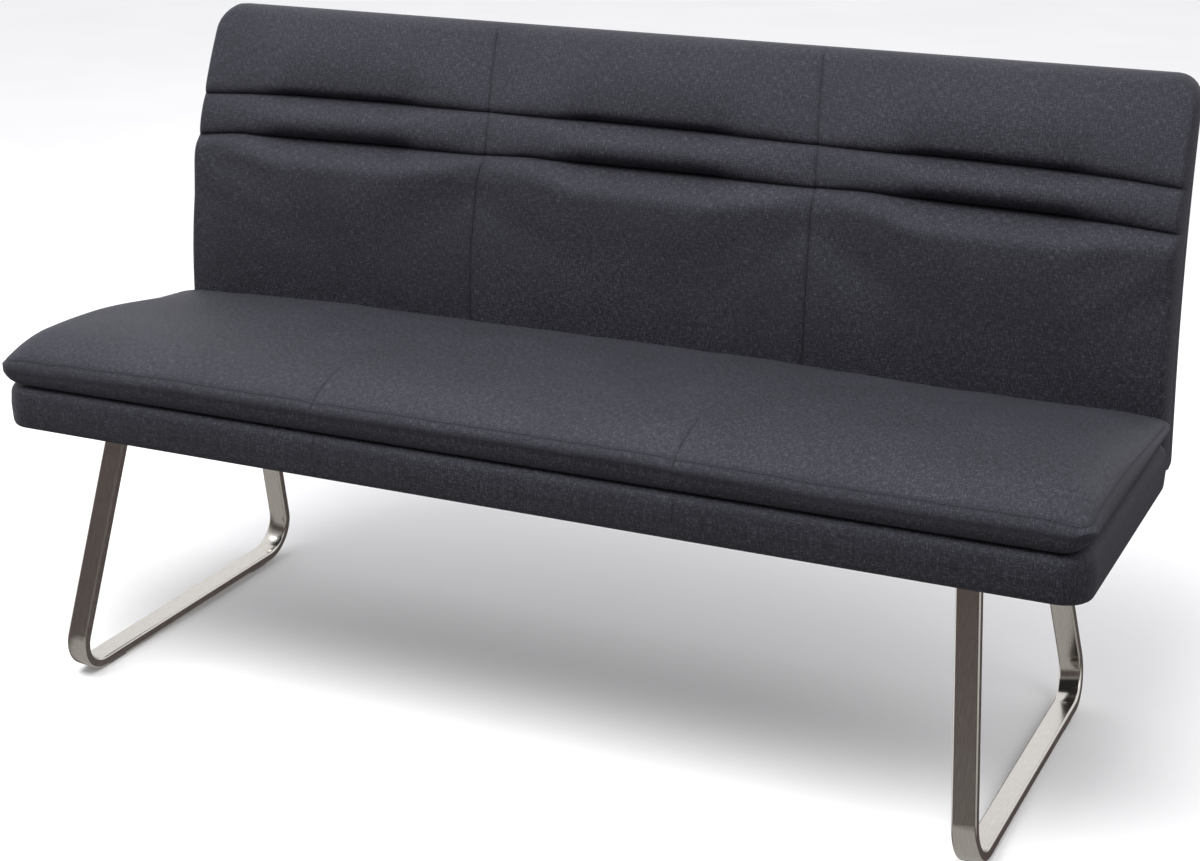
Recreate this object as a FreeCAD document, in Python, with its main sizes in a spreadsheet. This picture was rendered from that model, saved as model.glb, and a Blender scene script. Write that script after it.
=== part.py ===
import FreeCAD, Part
import math
import os

import Sketcher

# Upholstered dining bench: padded seat and back on two bent tube sled frames.
# Millimetres, +Z up, +X along the bench, seat front towards -Y, floor at Z 0.

Vec = FreeCAD.Vector
doc = FreeCAD.newDocument("UpholsteredBench")
sheet = doc.addObject("Spreadsheet::Sheet", "Sizes")

sizes = [
    # Seat box
    ("seatLength", "1600"),
    ("baseDepth", "480"),
    ("baseCorner", "42"),
    ("baseTopRound", "20"),
    ("baseLowEdge", "6"),
    ("underHeight", "376"),
    ("coverWall", "8"),
    ("coverTop", "4"),
    ("flangeThick", "1.5"),
    ("flangeWidth", "22"),
    ("foamInset", "14"),
    ("baseFoam", "10"),
    ("softGap", "0.3"),
    # Timber frame and straps
    ("railHeight", "45"),
    ("railThick", "30"),
    ("railCorner", "26"),
    ("legRailWidth", "90"),
    ("centreRailWidth", "40"),
    ("blockLeg", "70"),
    ("blockHeight", "30"),
    ("strapCount", "9"),
    ("strapWidth", "70"),
    ("strapThick", "1.5"),
    ("strapLap", "20"),
    # Leg frames
    ("tubeWidth", "33"),
    ("tubeThick", "15"),
    ("tubeEdge", "2.2"),
    ("bendOuter", "55"),
    ("footTail", "75"),
    ("footLead", "45"),
    ("frontRake", "15.5"),
    ("rearRake", "18.3"),
    ("legInset", "162"),
    ("legTilt", "6.63"),
    ("legOverrun", "14"),
    ("glideThin", "2"),
    ("glideLength", "40"),
    ("glideWidth", "26"),
    ("glideInset", "12"),
    # Leg plates and their bolts
    ("plateThick", "5"),
    ("plateWidth", "64"),
    ("plateLip", "20"),
    ("plateCorner", "8"),
    ("boltInset", "30"),
    ("boltPitch", "36"),
    ("boltDia", "8"),
    ("headDia", "14"),
    ("headHeight", "4.4"),
    ("washerDia", "18"),
    ("washerThick", "1.6"),
    ("boltReach", "20"),
    ("insertDia", "12"),
    ("insertLength", "25"),
    ("holeGap", "0.2"),
    ("shankSides", "8"),
    ("headSides", "6"),
    ("washerSides", "12"),
    # Seat cushion
    ("cushionCorner", "46"),
    ("cushionSeam", "22"),
    ("cushionCrown", "70"),
    ("cushionRear", "36"),
    ("cushionTuck", "24"),
    ("crownFront", "95"),
    ("crownRear", "120"),
    ("crownLift", "3"),
    ("endRoll", "80"),
    ("crossShare", "0.33375"),
    ("crossDip", "5"),
    ("crossSpread", "28"),
    # Back
    ("backLift", "3"),
    ("backHeight", "908"),
    ("backInset", "17"),
    ("backTaper", "14"),
    ("backCorner", "38"),
    ("bendRise", "44.7"),
    ("frontRadius", "837"),
    ("padThick", "36"),
    ("padTopThick", "15.8"),
    ("boardThick", "15"),
    ("rearThick", "23"),
    ("rearTopThick", "8.8"),
    ("boardInset", "30"),
    ("boardLow", "8"),
    ("boardTop", "16"),
    ("boardCorner", "30"),
    ("rearEdge", "10"),
    ("columnShare", "0.33461"),
    ("lowSeamDrop", "189"),
    ("highSeamDrop", "125"),
    ("panelRoll", "45"),
    ("bandRoll", "30"),
    ("headRoll", "50"),
    ("seamSink", "5"),
    ("panelSwell", "13"),
    ("bandSwell", "7"),
    ("tuckDepth", "15"),
    ("tuckEnd", "3"),
    ("topRoll", "17"),
    ("endRound", "20"),
    ("backBoltCount", "4"),
]
for row, (alias, text) in enumerate(sizes, start=1):
    sheet.set("A%d" % row, alias)
    sheet.set("B%d" % row, text)
    sheet.setAlias("B%d" % row, alias)
doc.recompute()


def size(alias):
    return float(sheet.get(alias))


def derive(alias, value):
    row = 1
    while sheet.getContents("A%d" % row) not in ("", alias, "'" + alias):
        row += 1
    sheet.set("A%d" % row, alias)
    sheet.set("B%d" % row, "%.9f" % value)
    if not sheet.getAlias("B%d" % row):
        sheet.setAlias("B%d" % row, alias)
    sheet.recompute()


# Places worked out from the sizes
tilt = math.radians(size("legTilt"))
frontLean = math.radians(size("frontRake"))
rearLean = math.radians(size("rearRake"))
cotFront = 1.0 / math.tan((math.pi / 2 - frontLean) / 2)
cotRear = 1.0 / math.tan((math.pi / 2 - rearLean) / 2)
halfSine = size("tubeWidth") / 2 * math.sin(tilt)
legDrop = (size("underHeight") - size("glideThin") - halfSine) / math.cos(tilt)
footRear = size("baseDepth") + size("footTail")
legSpacing = size("seatLength") - 2 * size("legInset")
plateCut = size("plateThick") / math.cos(tilt)
topFront = -size("footLead") + (legDrop - plateCut) * math.tan(frontLean)
topRear = footRear - (legDrop - plateCut) * math.tan(rearLean)

derive("baseFrontY", 0.0)
derive("legSpacing", legSpacing)
derive("footSpan", footRear + size("footLead"))
derive("strapPitch", (legSpacing - size("legRailWidth")) / size("strapCount"))
derive("backBoltPitch", legSpacing / size("backBoltCount"))
derive("crossSeam", size("crossShare") * size("seatLength") / 2)
derive("legDrop", legDrop)
derive("bendFrontY", -size("footLead") + size("bendOuter") * cotFront)
derive("bendRearY", footRear - size("bendOuter") * cotRear)
derive("bendZ", size("bendOuter") - legDrop)
derive("plateFrontY", topFront - size("plateLip"))
derive("plateRearY", topRear + size("plateLip"))
tubeSlice = size("tubeThick") / math.cos(frontLean)
derive("boltFrontY", topFront + tubeSlice + size("boltInset"))
tubeSlice = size("tubeThick") / math.cos(rearLean)
derive("boltRearY", topRear - tubeSlice - size("boltInset"))
derive("railLow", size("underHeight") + size("flangeThick"))
derive("railTop", size("underHeight") + size("flangeThick") + size("railHeight"))
derive("foamLow", size("railTop") + size("strapThick"))
derive("foamTop", size("foamLow") + size("baseFoam"))
derive("baseTop", size("foamTop") + size("softGap") + size("coverTop"))
derive("baseHeight", size("baseTop") - size("underHeight"))
derive("wallIn", size("coverWall") + size("softGap"))
derive("backBottom", size("underHeight") + size("backLift"))
derive("backBend", size("baseTop") + size("bendRise"))
derive("backHalf", size("seatLength") / 2 - size("backInset"))
derive("backTopHalf", size("backHalf") - size("backTaper"))
derive("columnSeam", size("columnShare") * size("backHalf"))
derive("lowSeam", size("backHeight") - size("lowSeamDrop"))
derive("highSeam", size("backHeight") - size("highSeamDrop"))
# Arcs that lean back by these amounts over the height above the bend.
bowHeight = size("backHeight") - size("backBend")
frontBow = size("frontRadius") - math.sqrt(size("frontRadius") ** 2 - bowHeight ** 2)
boardBow = frontBow - size("padThick") + size("padTopThick")
rearBow = boardBow - size("rearThick") + size("rearTopThick")
derive("boardRadius", (boardBow ** 2 + bowHeight ** 2) / (2 * boardBow))
derive("rearRadius", (rearBow ** 2 + bowHeight ** 2) / (2 * rearBow))
derive("backFront", size("baseDepth") + size("softGap"))
derive("boardFront", size("backFront") + size("padThick") + size("softGap"))
derive("backBoltZ", size("railLow") + size("railHeight") / 2)

parts = []


def keep(obj, label):
    obj.Label = label
    parts.append(obj)
    obj.setExpression("Placement.Base.y", "Sizes.baseFrontY")
    return obj


def newBody(label):
    body = doc.addObject("PartDesign::Body", label)
    body.AllowCompound = True
    return keep(body, label)


def newSketch(body, role, name, height=None):
    sketch = body.newObject("Sketcher::SketchObject", body.Name + "_" + name)
    plane = [f for f in body.Origin.OriginFeatures if f.Role == role][0]
    sketch.AttachmentSupport = [(plane, "")]
    sketch.MapMode = "FlatFace"
    if height:
        sketch.setExpression("AttachmentOffset.Base.z", height)
    return sketch


def fix(sketch, kind, *what):
    # The last item is the expression that drives the constraint.
    if kind == "Radius":
        value = sketch.Geometry[what[0]].Radius
    elif kind == "Angle":
        line = sketch.Geometry[what[0]]
        run = line.EndPoint - line.StartPoint
        value = math.atan2(run.y, run.x)
    else:
        point = sketch.getPoint(what[2], what[3])
        value = point.x if kind == "DistanceX" else point.y
    index = sketch.addConstraint(Sketcher.Constraint(kind, *what[:-1], value))
    sketch.setExpression("Constraints[%d]" % index, what[-1])


def polygon(sketch, corners):
    # A closed outline whose corners are each tied to the origin by expressions.
    count = len(corners)
    start = sketch.GeometryCount
    ring = []
    for i in range(count):
        angle = 2 * math.pi * (i + 0.3) / count
        ring.append(Vec(10 * math.cos(angle), 10 * math.sin(angle), 0))
    sketch.addGeometry([Part.LineSegment(ring[i], ring[(i + 1) % count]) for i in range(count)])
    ties = []
    driven = []
    for i in range(count):
        ties.append(Sketcher.Constraint("Coincident", start + i, 2, start + (i + 1) % count, 1))
    first = sketch.ConstraintCount
    for i, (across, up) in enumerate(corners):
        for kind, axis, expression, now in (("DistanceX", -2, across, ring[i].x), ("DistanceY", -1, up, ring[i].y)):
            if expression == "0":
                ties.append(Sketcher.Constraint("PointOnObject", start + i, 1, axis))
            else:
                driven.append((first + len(ties), expression))
                ties.append(Sketcher.Constraint(kind, -1, 1, start + i, 1, now))
    sketch.addConstraint(ties)
    for index, expression in driven:
        sketch.setExpression("Constraints[%d]" % index, expression)


def rectangle(sketch, left, low, right, high):
    polygon(sketch, [(left, low), (right, low), (right, high), (left, high)])


def pad(body, sketch, name, length, symmetric=False, reverse=False):
    feature = body.newObject("PartDesign::Pad", body.Name + "_" + name)
    feature.Profile = sketch
    feature.SideType = "Symmetric" if symmetric else "One side"
    feature.Reversed = reverse
    feature.setExpression("Length", length)
    doc.recompute()
    return feature


def pocket(body, sketch, name, length=None, symmetric=False, reverse=False):
    before = body.Shape.Volume
    feature = body.newObject("PartDesign::Pocket", body.Name + "_" + name)
    feature.Profile = sketch
    feature.SideType = "Symmetric" if symmetric else "One side"
    feature.Reversed = reverse
    if length:
        feature.setExpression("Length", length)
    else:
        feature.Type = "ThroughAll"
    doc.recompute()
    if body.Shape.Volume > before - 0.01:
        raise RuntimeError("%s cuts nothing" % feature.Name)
    return feature


def fillet(body, base, name, radius, choose):
    names = []
    for i, edge in enumerate(base.Shape.Edges, start=1):
        if choose(edge):
            names.append("Edge%d" % i)
    feature = body.newObject("PartDesign::Fillet", body.Name + "_" + name)
    feature.Base = (base, names)
    feature.setExpression("Radius", radius)
    doc.recompute()
    return feature


def chamfer(body, base, name, width, choose):
    names = []
    for i, edge in enumerate(base.Shape.Edges, start=1):
        if choose(edge):
            names.append("Edge%d" % i)
    feature = body.newObject("PartDesign::Chamfer", body.Name + "_" + name)
    feature.Base = (base, names)
    feature.setExpression("Size", width)
    doc.recompute()
    return feature


def prisms(body, name, spots, radius, sides, height, toRear=False, cut=False):
    # A regular prism at each spot for bolts, washers, inserts and the holes that clear them.
    kind = "PartDesign::SubtractivePrism" if cut else "PartDesign::AdditivePrism"
    before = body.Shape.Volume if cut else 0.0
    for i, spot in enumerate(spots, start=1):
        feature = body.newObject(kind, "%s_%s_%d" % (body.Name, name, i))
        feature.Polygon = int(size(sides))
        feature.setExpression("Circumradius", radius)
        feature.setExpression("Height", height)
        if toRear:
            feature.Placement = FreeCAD.Placement(Vec(0, 0, 0), FreeCAD.Rotation(Vec(1, 0, 0), -90))
        for axis, expression in zip("xyz", spot):
            feature.setExpression("Placement.Base." + axis, expression)
    doc.recompute()
    if cut and body.Shape.Volume > before - 0.01:
        raise RuntimeError("%s_%s cuts nothing" % (body.Name, name))


def upright(edge):
    box = edge.BoundBox
    return box.XLength < 1e-6 and box.YLength < 1e-6 and box.ZLength > 1


def level(edge, height):
    box = edge.BoundBox
    return abs(box.ZMin - height) < 1e-6 and abs(box.ZMax - height) < 1e-6


# Bent tube sled frames

def legFrame(label, side):
    body = newBody(label)
    outline = newSketch(body, "YZ_Plane", "outline")
    thick = size("tubeThick")
    outer = size("bendOuter")
    inner = outer - thick
    over = size("legOverrun")
    centreF = Vec(size("bendFrontY"), size("bendZ"), 0)
    centreR = Vec(size("bendRearY"), size("bendZ"), 0)
    toFront = Vec(-math.cos(frontLean), math.sin(frontLean), 0)
    toRear = Vec(math.cos(rearLean), math.sin(rearLean), 0)
    down = Vec(0, -1, 0)
    topF = Vec(-size("footLead") + (over + legDrop) * math.tan(frontLean), over, 0)
    topR = Vec(footRear - (over + legDrop) * math.tan(rearLean), over, 0)
    topFi = topF + Vec(thick / math.cos(frontLean), 0, 0)
    topRi = topR - Vec(thick / math.cos(rearLean), 0, 0)

    def arc(centre, radius, first, last):
        return Part.ArcOfCircle(Part.Circle(centre, Vec(0, 0, 1), radius), first, last)

    legF = math.pi - frontLean
    geometry = [
        Part.LineSegment(centreF + toFront * outer, topF),
        arc(centreF, outer, legF, 1.5 * math.pi),
        Part.LineSegment(centreF + down * outer, centreR + down * outer),
        arc(centreR, outer, -0.5 * math.pi, rearLean),
        Part.LineSegment(centreR + toRear * outer, topR),
        Part.LineSegment(topR, topRi),
        Part.LineSegment(centreR + toRear * inner, topRi),
        arc(centreR, inner, -0.5 * math.pi, rearLean),
        Part.LineSegment(centreF + down * inner, centreR + down * inner),
        arc(centreF, inner, legF, 1.5 * math.pi),
        Part.LineSegment(centreF + toFront * inner, topFi),
        Part.LineSegment(topF, topFi),
    ]
    outline.addGeometry(geometry)
    joins = [
        ("Tangent", 0, 1, 1, 1), ("Tangent", 1, 2, 2, 1), ("Tangent", 2, 2, 3, 1),
        ("Tangent", 3, 2, 4, 1), ("Coincident", 4, 2, 5, 1), ("Coincident", 5, 2, 6, 2),
        ("Tangent", 6, 1, 7, 2), ("Tangent", 7, 1, 8, 2), ("Tangent", 8, 1, 9, 2),
        ("Tangent", 9, 1, 10, 1), ("Coincident", 10, 2, 11, 2), ("Coincident", 11, 1, 0, 2),
        ("Coincident", 1, 3, 9, 3), ("Coincident", 3, 3, 7, 3),
        ("Parallel", 0, 10), ("Parallel", 4, 6), ("Horizontal", 5), ("Horizontal", 11),
    ]
    for join in joins:
        outline.addConstraint(Sketcher.Constraint(*join))
    fix(outline, "Radius", 1, "Sizes.bendOuter")
    fix(outline, "Radius", 3, "Sizes.bendOuter")
    fix(outline, "Radius", 7, "Sizes.bendOuter - Sizes.tubeThick")
    fix(outline, "Radius", 9, "Sizes.bendOuter - Sizes.tubeThick")
    fix(outline, "DistanceX", -1, 1, 1, 3, "Sizes.bendFrontY")
    fix(outline, "DistanceY", -1, 1, 1, 3, "Sizes.bendZ")
    fix(outline, "DistanceX", -1, 1, 3, 3, "Sizes.bendRearY")
    fix(outline, "DistanceY", -1, 1, 3, 3, "Sizes.bendZ")
    fix(outline, "Angle", 0, "90 - Sizes.frontRake")
    fix(outline, "Angle", 4, "90 + Sizes.rearRake")
    fix(outline, "DistanceY", -1, 1, 0, 2, "Sizes.legOverrun")
    fix(outline, "DistanceY", -1, 1, 4, 2, "Sizes.legOverrun")
    tube = pad(body, outline, "tube", "Sizes.tubeWidth", symmetric=True)

    def longEdge(edge):
        box = edge.BoundBox
        return box.XLength < 1e-6 and box.ZMin < over - 1

    chamfer(body, tube, "edges", "Sizes.tubeEdge", longEdge)

    # The upper ends are cut level under the plate.
    trim = newSketch(body, "XZ_Plane", "trim")
    rise = "Sizes.plateThick / cos(Sizes.legTilt)"
    skew = "Sizes.tubeWidth * tan(Sizes.legTilt)"
    polygon(trim, [
        ("-Sizes.tubeWidth", "-(%s) %s %s" % (rise, "+" if side > 0 else "-", skew)),
        ("Sizes.tubeWidth", "-(%s) %s %s" % (rise, "-" if side > 0 else "+", skew)),
        ("Sizes.tubeWidth", "3 * Sizes.legOverrun"),
        ("-Sizes.tubeWidth", "3 * Sizes.legOverrun"),
    ])
    pocket(body, trim, "top", "4 * Sizes.footSpan", symmetric=True)
    turn = "-Sizes.legTilt" if side > 0 else "Sizes.legTilt"
    body.setExpression("Placement.Rotation.Axis.y", "1")
    body.setExpression("Placement.Rotation.Axis.z", "0")
    body.setExpression("Placement.Rotation.Angle", turn)
    body.setExpression("Placement.Base.x", "%d * Sizes.legSpacing / 2" % side)
    body.setExpression("Placement.Base.z", "Sizes.underHeight")


legFrame("leg_frame_left", -1)
legFrame("leg_frame_right", 1)


# Wedge glides that level the leaning foot bars

glides = newBody("floor_glides")
footX = "(Sizes.legSpacing / 2 + Sizes.legDrop * sin(Sizes.legTilt)"
footZ = "Sizes.glideThin + Sizes.tubeWidth / 2 * sin(Sizes.legTilt)"
reach = "Sizes.glideWidth / 2"
ends = [
    ("front", "-(Sizes.bendFrontY + Sizes.glideInset)"),
    ("rear", "-(Sizes.bendRearY - Sizes.glideInset - Sizes.glideLength)"),
]
for name, place in ends:
    wedges = newSketch(glides, "XZ_Plane", name, place)
    for side in ("-", ""):
        inX = side + footX + " - %s * cos(Sizes.legTilt))" % reach
        outX = side + footX + " + %s * cos(Sizes.legTilt))" % reach
        inZ = footZ + " - %s * sin(Sizes.legTilt)" % reach
        outZ = footZ + " + %s * sin(Sizes.legTilt)" % reach
        polygon(wedges, [(inX, "0"), (outX, "0"), (outX, outZ), (inX, inZ)])
    pad(glides, wedges, name + "_pad", "Sizes.glideLength", reverse=True)


# Leg plates, bolts, washers and threaded inserts

boltSpots = []
for side in ("-", ""):
    for step in ("-", "+"):
        for along in ("Sizes.boltFrontY", "Sizes.boltRearY"):
            across = side + "(Sizes.legSpacing / 2) " + step + " Sizes.boltPitch / 2"
            boltSpots.append((across, along))
holeRadius = "Sizes.boltDia / 2 + Sizes.holeGap"
boreRadius = "Sizes.insertDia / 2 + Sizes.holeGap"

for label, side in (("leg_plate_left", "-"), ("leg_plate_right", "")):
    plate = newBody(label)
    flat = newSketch(plate, "XY_Plane", "flat")
    middle = side + "Sizes.legSpacing / 2"
    rectangle(flat, middle + " - Sizes.plateWidth / 2", "Sizes.plateFrontY",
              middle + " + Sizes.plateWidth / 2", "Sizes.plateRearY")
    slab = pad(plate, flat, "slab", "Sizes.plateThick")
    chamfer(plate, slab, "corners", "Sizes.plateCorner", upright)
    spots = [(x, y, "-Sizes.plateThick") for x, y in boltSpots if x.startswith("-") == (side == "-")]
    prisms(plate, "hole", spots, holeRadius, "shankSides", "3 * Sizes.plateThick", cut=True)
    plate.setExpression("Placement.Base.z", "Sizes.underHeight - Sizes.plateThick")

bolts = newBody("leg_bolts")
shankLength = "Sizes.washerThick + Sizes.plateThick + Sizes.flangeThick + Sizes.boltReach"
prisms(bolts, "shank", [(x, y, "0") for x, y in boltSpots], "Sizes.boltDia / 2", "shankSides", shankLength)
prisms(bolts, "head", [(x, y, "-Sizes.headHeight") for x, y in boltSpots], "Sizes.headDia / 2",
       "headSides", "Sizes.headHeight")
bolts.setExpression("Placement.Base.z",
                    "Sizes.underHeight - Sizes.plateThick - Sizes.washerThick")

washers = newBody("leg_washers")
prisms(washers, "ring", [(x, y, "0") for x, y in boltSpots], "Sizes.washerDia / 2", "washerSides",
       "Sizes.washerThick")
prisms(washers, "hole", [(x, y, "-Sizes.washerThick") for x, y in boltSpots], holeRadius, "shankSides",
       "3 * Sizes.washerThick", cut=True)
washers.setExpression("Placement.Base.z",
                      "Sizes.underHeight - Sizes.plateThick - Sizes.washerThick")

inserts = newBody("leg_inserts")
prisms(inserts, "sleeve", [(x, y, "0") for x, y in boltSpots], "Sizes.insertDia / 2", "shankSides",
       "Sizes.insertLength")
prisms(inserts, "bore", [(x, y, "-Sizes.insertLength") for x, y in boltSpots], holeRadius, "shankSides",
       "3 * Sizes.insertLength", cut=True)
inserts.setExpression("Placement.Base.z", "Sizes.railLow")


# Timber frame of the seat

frameX = "(Sizes.seatLength / 2 - Sizes.wallIn)"
railFront = "Sizes.wallIn"
railRear = "Sizes.baseDepth - Sizes.wallIn"
backSpots = []
for i in range(int(size("backBoltCount"))):
    offset = i - (size("backBoltCount") - 1) / 2
    backSpots.append("%.1f * Sizes.backBoltPitch" % offset)


def rail(label, left, low, right, high):
    body = newBody(label)
    plan = newSketch(body, "XY_Plane", "plan")
    rectangle(plan, left, low, right, high)
    pad(body, plan, "bar", "Sizes.railHeight")
    body.setExpression("Placement.Base.z", "Sizes.railLow")
    return body


sideX = frameX + " - Sizes.railThick"
rail("seat_front_rail", "-(%s)" % sideX, railFront, sideX, railFront + " + Sizes.railThick")
rearRail = rail("seat_rear_rail", "-(%s)" % sideX, railRear + " - Sizes.railThick", sideX, railRear)
spots = [(x, railRear + " - 2 * Sizes.railThick", "Sizes.railHeight / 2") for x in backSpots]
prisms(rearRail, "hole", spots, holeRadius, "shankSides", "3 * Sizes.railThick", toRear=True, cut=True)

for label, side in (("seat_end_rail_left", "-"), ("seat_end_rail_right", "")):
    near = side + "(" + sideX + ")"
    far = side + frameX
    endRail = rail(label, near, railFront, far, railRear)
    outside = size("seatLength") / 2 - size("wallIn")

    def outerCorner(edge):
        return upright(edge) and abs(abs(edge.BoundBox.XMin) - outside) < 0.01

    fillet(endRail, endRail.Tip, "corners", "Sizes.railCorner", outerCorner)

crossFront = railFront + " + Sizes.railThick"
crossRear = railRear + " - Sizes.railThick"
half = "Sizes.legRailWidth / 2"
for label, side in (("leg_rail_left", "-"), ("leg_rail_right", "")):
    middle = side + "Sizes.legSpacing / 2"
    legRail = rail(label, middle + " - " + half, crossFront, middle + " + " + half, crossRear)
    spots = [(x, y, "-Sizes.holeGap") for x, y in boltSpots if x.startswith("-") == (side == "-")]
    prisms(legRail, "bore", spots, boreRadius, "shankSides", "Sizes.insertLength + 2 * Sizes.holeGap", cut=True)
half = "Sizes.centreRailWidth / 2"
rail("seat_centre_rail", "-" + half, crossFront, half, crossRear)

blocks = newBody("corner_blocks")
blockPlan = newSketch(blocks, "XY_Plane", "plan")
for side in ("-", ""):
    cornerX = side + "(" + sideX + ")"
    innerX = side + "(" + sideX + " - Sizes.blockLeg)"
    polygon(blockPlan, [(cornerX, crossFront), (innerX, crossFront),
                        (cornerX, crossFront + " + Sizes.blockLeg")])
    polygon(blockPlan, [(cornerX, crossRear), (innerX, crossRear),
                        (cornerX, crossRear + " - Sizes.blockLeg")])
pad(blocks, blockPlan, "wedges", "Sizes.blockHeight")
blocks.setExpression("Placement.Base.z", "Sizes.railLow")


# Straps and foam on the frame

webbing = newBody("seat_webbing")
strapPlan = newSketch(webbing, "XY_Plane", "plan")
lapFront = crossFront + " - Sizes.strapLap"
lapRear = crossRear + " + Sizes.strapLap"
for i in range(int(size("strapCount"))):
    offset = "%.1f * Sizes.strapPitch" % (i - (size("strapCount") - 1) / 2)
    rectangle(strapPlan, offset + " - Sizes.strapWidth / 2", lapFront,
              offset + " + Sizes.strapWidth / 2", lapRear)
pad(webbing, strapPlan, "straps", "Sizes.strapThick")
webbing.setExpression("Placement.Base.z", "Sizes.railTop")

foam = newBody("seat_base_foam")
foamPlan = newSketch(foam, "XY_Plane", "plan")
foamX = "(" + frameX + " - Sizes.foamInset)"
rectangle(foamPlan, "-" + foamX, railFront + " + Sizes.foamInset",
          foamX, railRear + " - Sizes.foamInset")
slab = pad(foam, foamPlan, "sheet", "Sizes.baseFoam")
fillet(foam, slab, "corners", "Sizes.railCorner - Sizes.foamInset / 2", upright)
foam.setExpression("Placement.Base.z", "Sizes.foamLow")


# Fabric skin of the seat box, turned in underneath

cover = newBody("seat_base_cover")
plan = newSketch(cover, "XY_Plane", "plan")
rectangle(plan, "-Sizes.seatLength / 2", "0", "Sizes.seatLength / 2", "Sizes.baseDepth")
block = pad(cover, plan, "block", "Sizes.baseHeight")
rounded = fillet(cover, block, "corners", "Sizes.baseCorner", upright)
high = size("baseHeight")
soft = fillet(cover, rounded, "top_round", "Sizes.baseTopRound", lambda edge: level(edge, high))
chamfer(cover, soft, "low_edge", "Sizes.baseLowEdge", lambda edge: level(edge, 0.0))


def roundedRectangle(sketch, left, low, right, high, radius):
    # A rectangle with tangent corner arcs, tied at its four sides.
    start = sketch.GeometryCount
    spots = [(-20, -20), (20, -20), (20, 20), (-20, 20)]
    turns = [math.pi, 1.5 * math.pi, 0.0, 0.5 * math.pi]
    for (cx, cy), first in zip(spots, turns):
        ring = Part.Circle(Vec(cx, cy, 0), Vec(0, 0, 1), 5)
        sketch.addGeometry(Part.ArcOfCircle(ring, first, first + math.pi / 2))
    sides = [((-20, -25), (20, -25)), ((25, -20), (25, 20)), ((20, 25), (-20, 25)), ((-25, 20), (-25, -20))]
    for a, b in sides:
        sketch.addGeometry(Part.LineSegment(Vec(a[0], a[1], 0), Vec(b[0], b[1], 0)))
    for i in range(4):
        line = start + 4 + i
        sketch.addConstraint(Sketcher.Constraint("Tangent", start + i, 2, line, 1))
        sketch.addConstraint(Sketcher.Constraint("Tangent", line, 2, start + (i + 1) % 4, 1))
        sketch.addConstraint(Sketcher.Constraint("Horizontal" if i % 2 == 0 else "Vertical", line))
        if i:
            sketch.addConstraint(Sketcher.Constraint("Equal", start, start + i))
    fix(sketch, "Radius", start, radius)
    fix(sketch, "DistanceY", -1, 1, start + 4, 1, low)
    fix(sketch, "DistanceX", -1, 1, start + 5, 1, right)
    fix(sketch, "DistanceY", -1, 1, start + 6, 1, high)
    fix(sketch, "DistanceX", -1, 1, start + 7, 1, left)


wallX = "(Sizes.seatLength / 2 - Sizes.coverWall)"
wallRear = "(Sizes.baseDepth - Sizes.coverWall)"
hollow = newSketch(cover, "XY_Plane", "frame_space", "Sizes.flangeThick")
roundedRectangle(hollow, "-" + wallX, "Sizes.coverWall", wallX, wallRear, "Sizes.railCorner")
pocket(cover, hollow, "frame_room", "Sizes.railHeight + Sizes.strapThick", reverse=True)
upper = newSketch(cover, "XY_Plane", "foam_space", "Sizes.flangeThick")
rectangle(upper, "-(%s - Sizes.foamInset)" % wallX, "Sizes.coverWall + Sizes.foamInset",
          "%s - Sizes.foamInset" % wallX, wallRear + " - Sizes.foamInset")
foamRoom = "Sizes.baseHeight - Sizes.flangeThick - Sizes.coverTop"
pocket(cover, upper, "foam_room", foamRoom, reverse=True)
mouth = newSketch(cover, "XY_Plane", "opening")
mouthX = "(%s - Sizes.flangeWidth)" % wallX
mouthFront = "Sizes.coverWall + Sizes.flangeWidth"
mouthRear = "%s - Sizes.flangeWidth" % wallRear
rectangle(mouth, "-" + mouthX, mouthFront, mouthX, mouthRear)
pocket(cover, mouth, "open_underside", "Sizes.flangeThick", reverse=True)
spots = [(x, wallRear + " - Sizes.coverWall", "Sizes.backBoltZ - Sizes.underHeight") for x in backSpots]
prisms(cover, "hole", spots, holeRadius, "shankSides", "3 * Sizes.coverWall", toRear=True, cut=True)
cover.setExpression("Placement.Base.z", "Sizes.underHeight")

dust = newBody("dust_cover")
sheetPlan = newSketch(dust, "XY_Plane", "plan")
rectangle(sheetPlan, "-%s + Sizes.softGap" % mouthX, mouthFront + " + Sizes.softGap",
          "%s - Sizes.softGap" % mouthX, mouthRear + " - Sizes.softGap")
pad(dust, sheetPlan, "cloth", "Sizes.flangeThick")
spots = [(x, y, "-Sizes.flangeThick") for x, y in boltSpots]
prisms(dust, "hole", spots, holeRadius, "shankSides", "3 * Sizes.flangeThick", cut=True)
dust.setExpression("Placement.Base.z", "Sizes.underHeight")


# Seat cushion: knife edge, crown, cross seams

def wireOf(points):
    # Each entry is a corner, or a corner and the point that the arc to the next corner passes.
    edges = []
    for i, entry in enumerate(points):
        after = points[(i + 1) % len(points)][0]
        if len(entry) == 1:
            edges.append(Part.makeLine(entry[0], after))
        else:
            edges.append(Part.Arc(entry[0], entry[1], after).toShape())
    return Part.Wire(edges)


def ellipse(part):
    part = min(max(part, 0.0), 1.0)
    return math.sqrt(1.0 - (1.0 - part) ** 2)


def cornerCut(distance, radius):
    # How far a rounded corner lies inside its square corner, this far from the end.
    return radius * (1.0 - ellipse(distance / radius))


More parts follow.
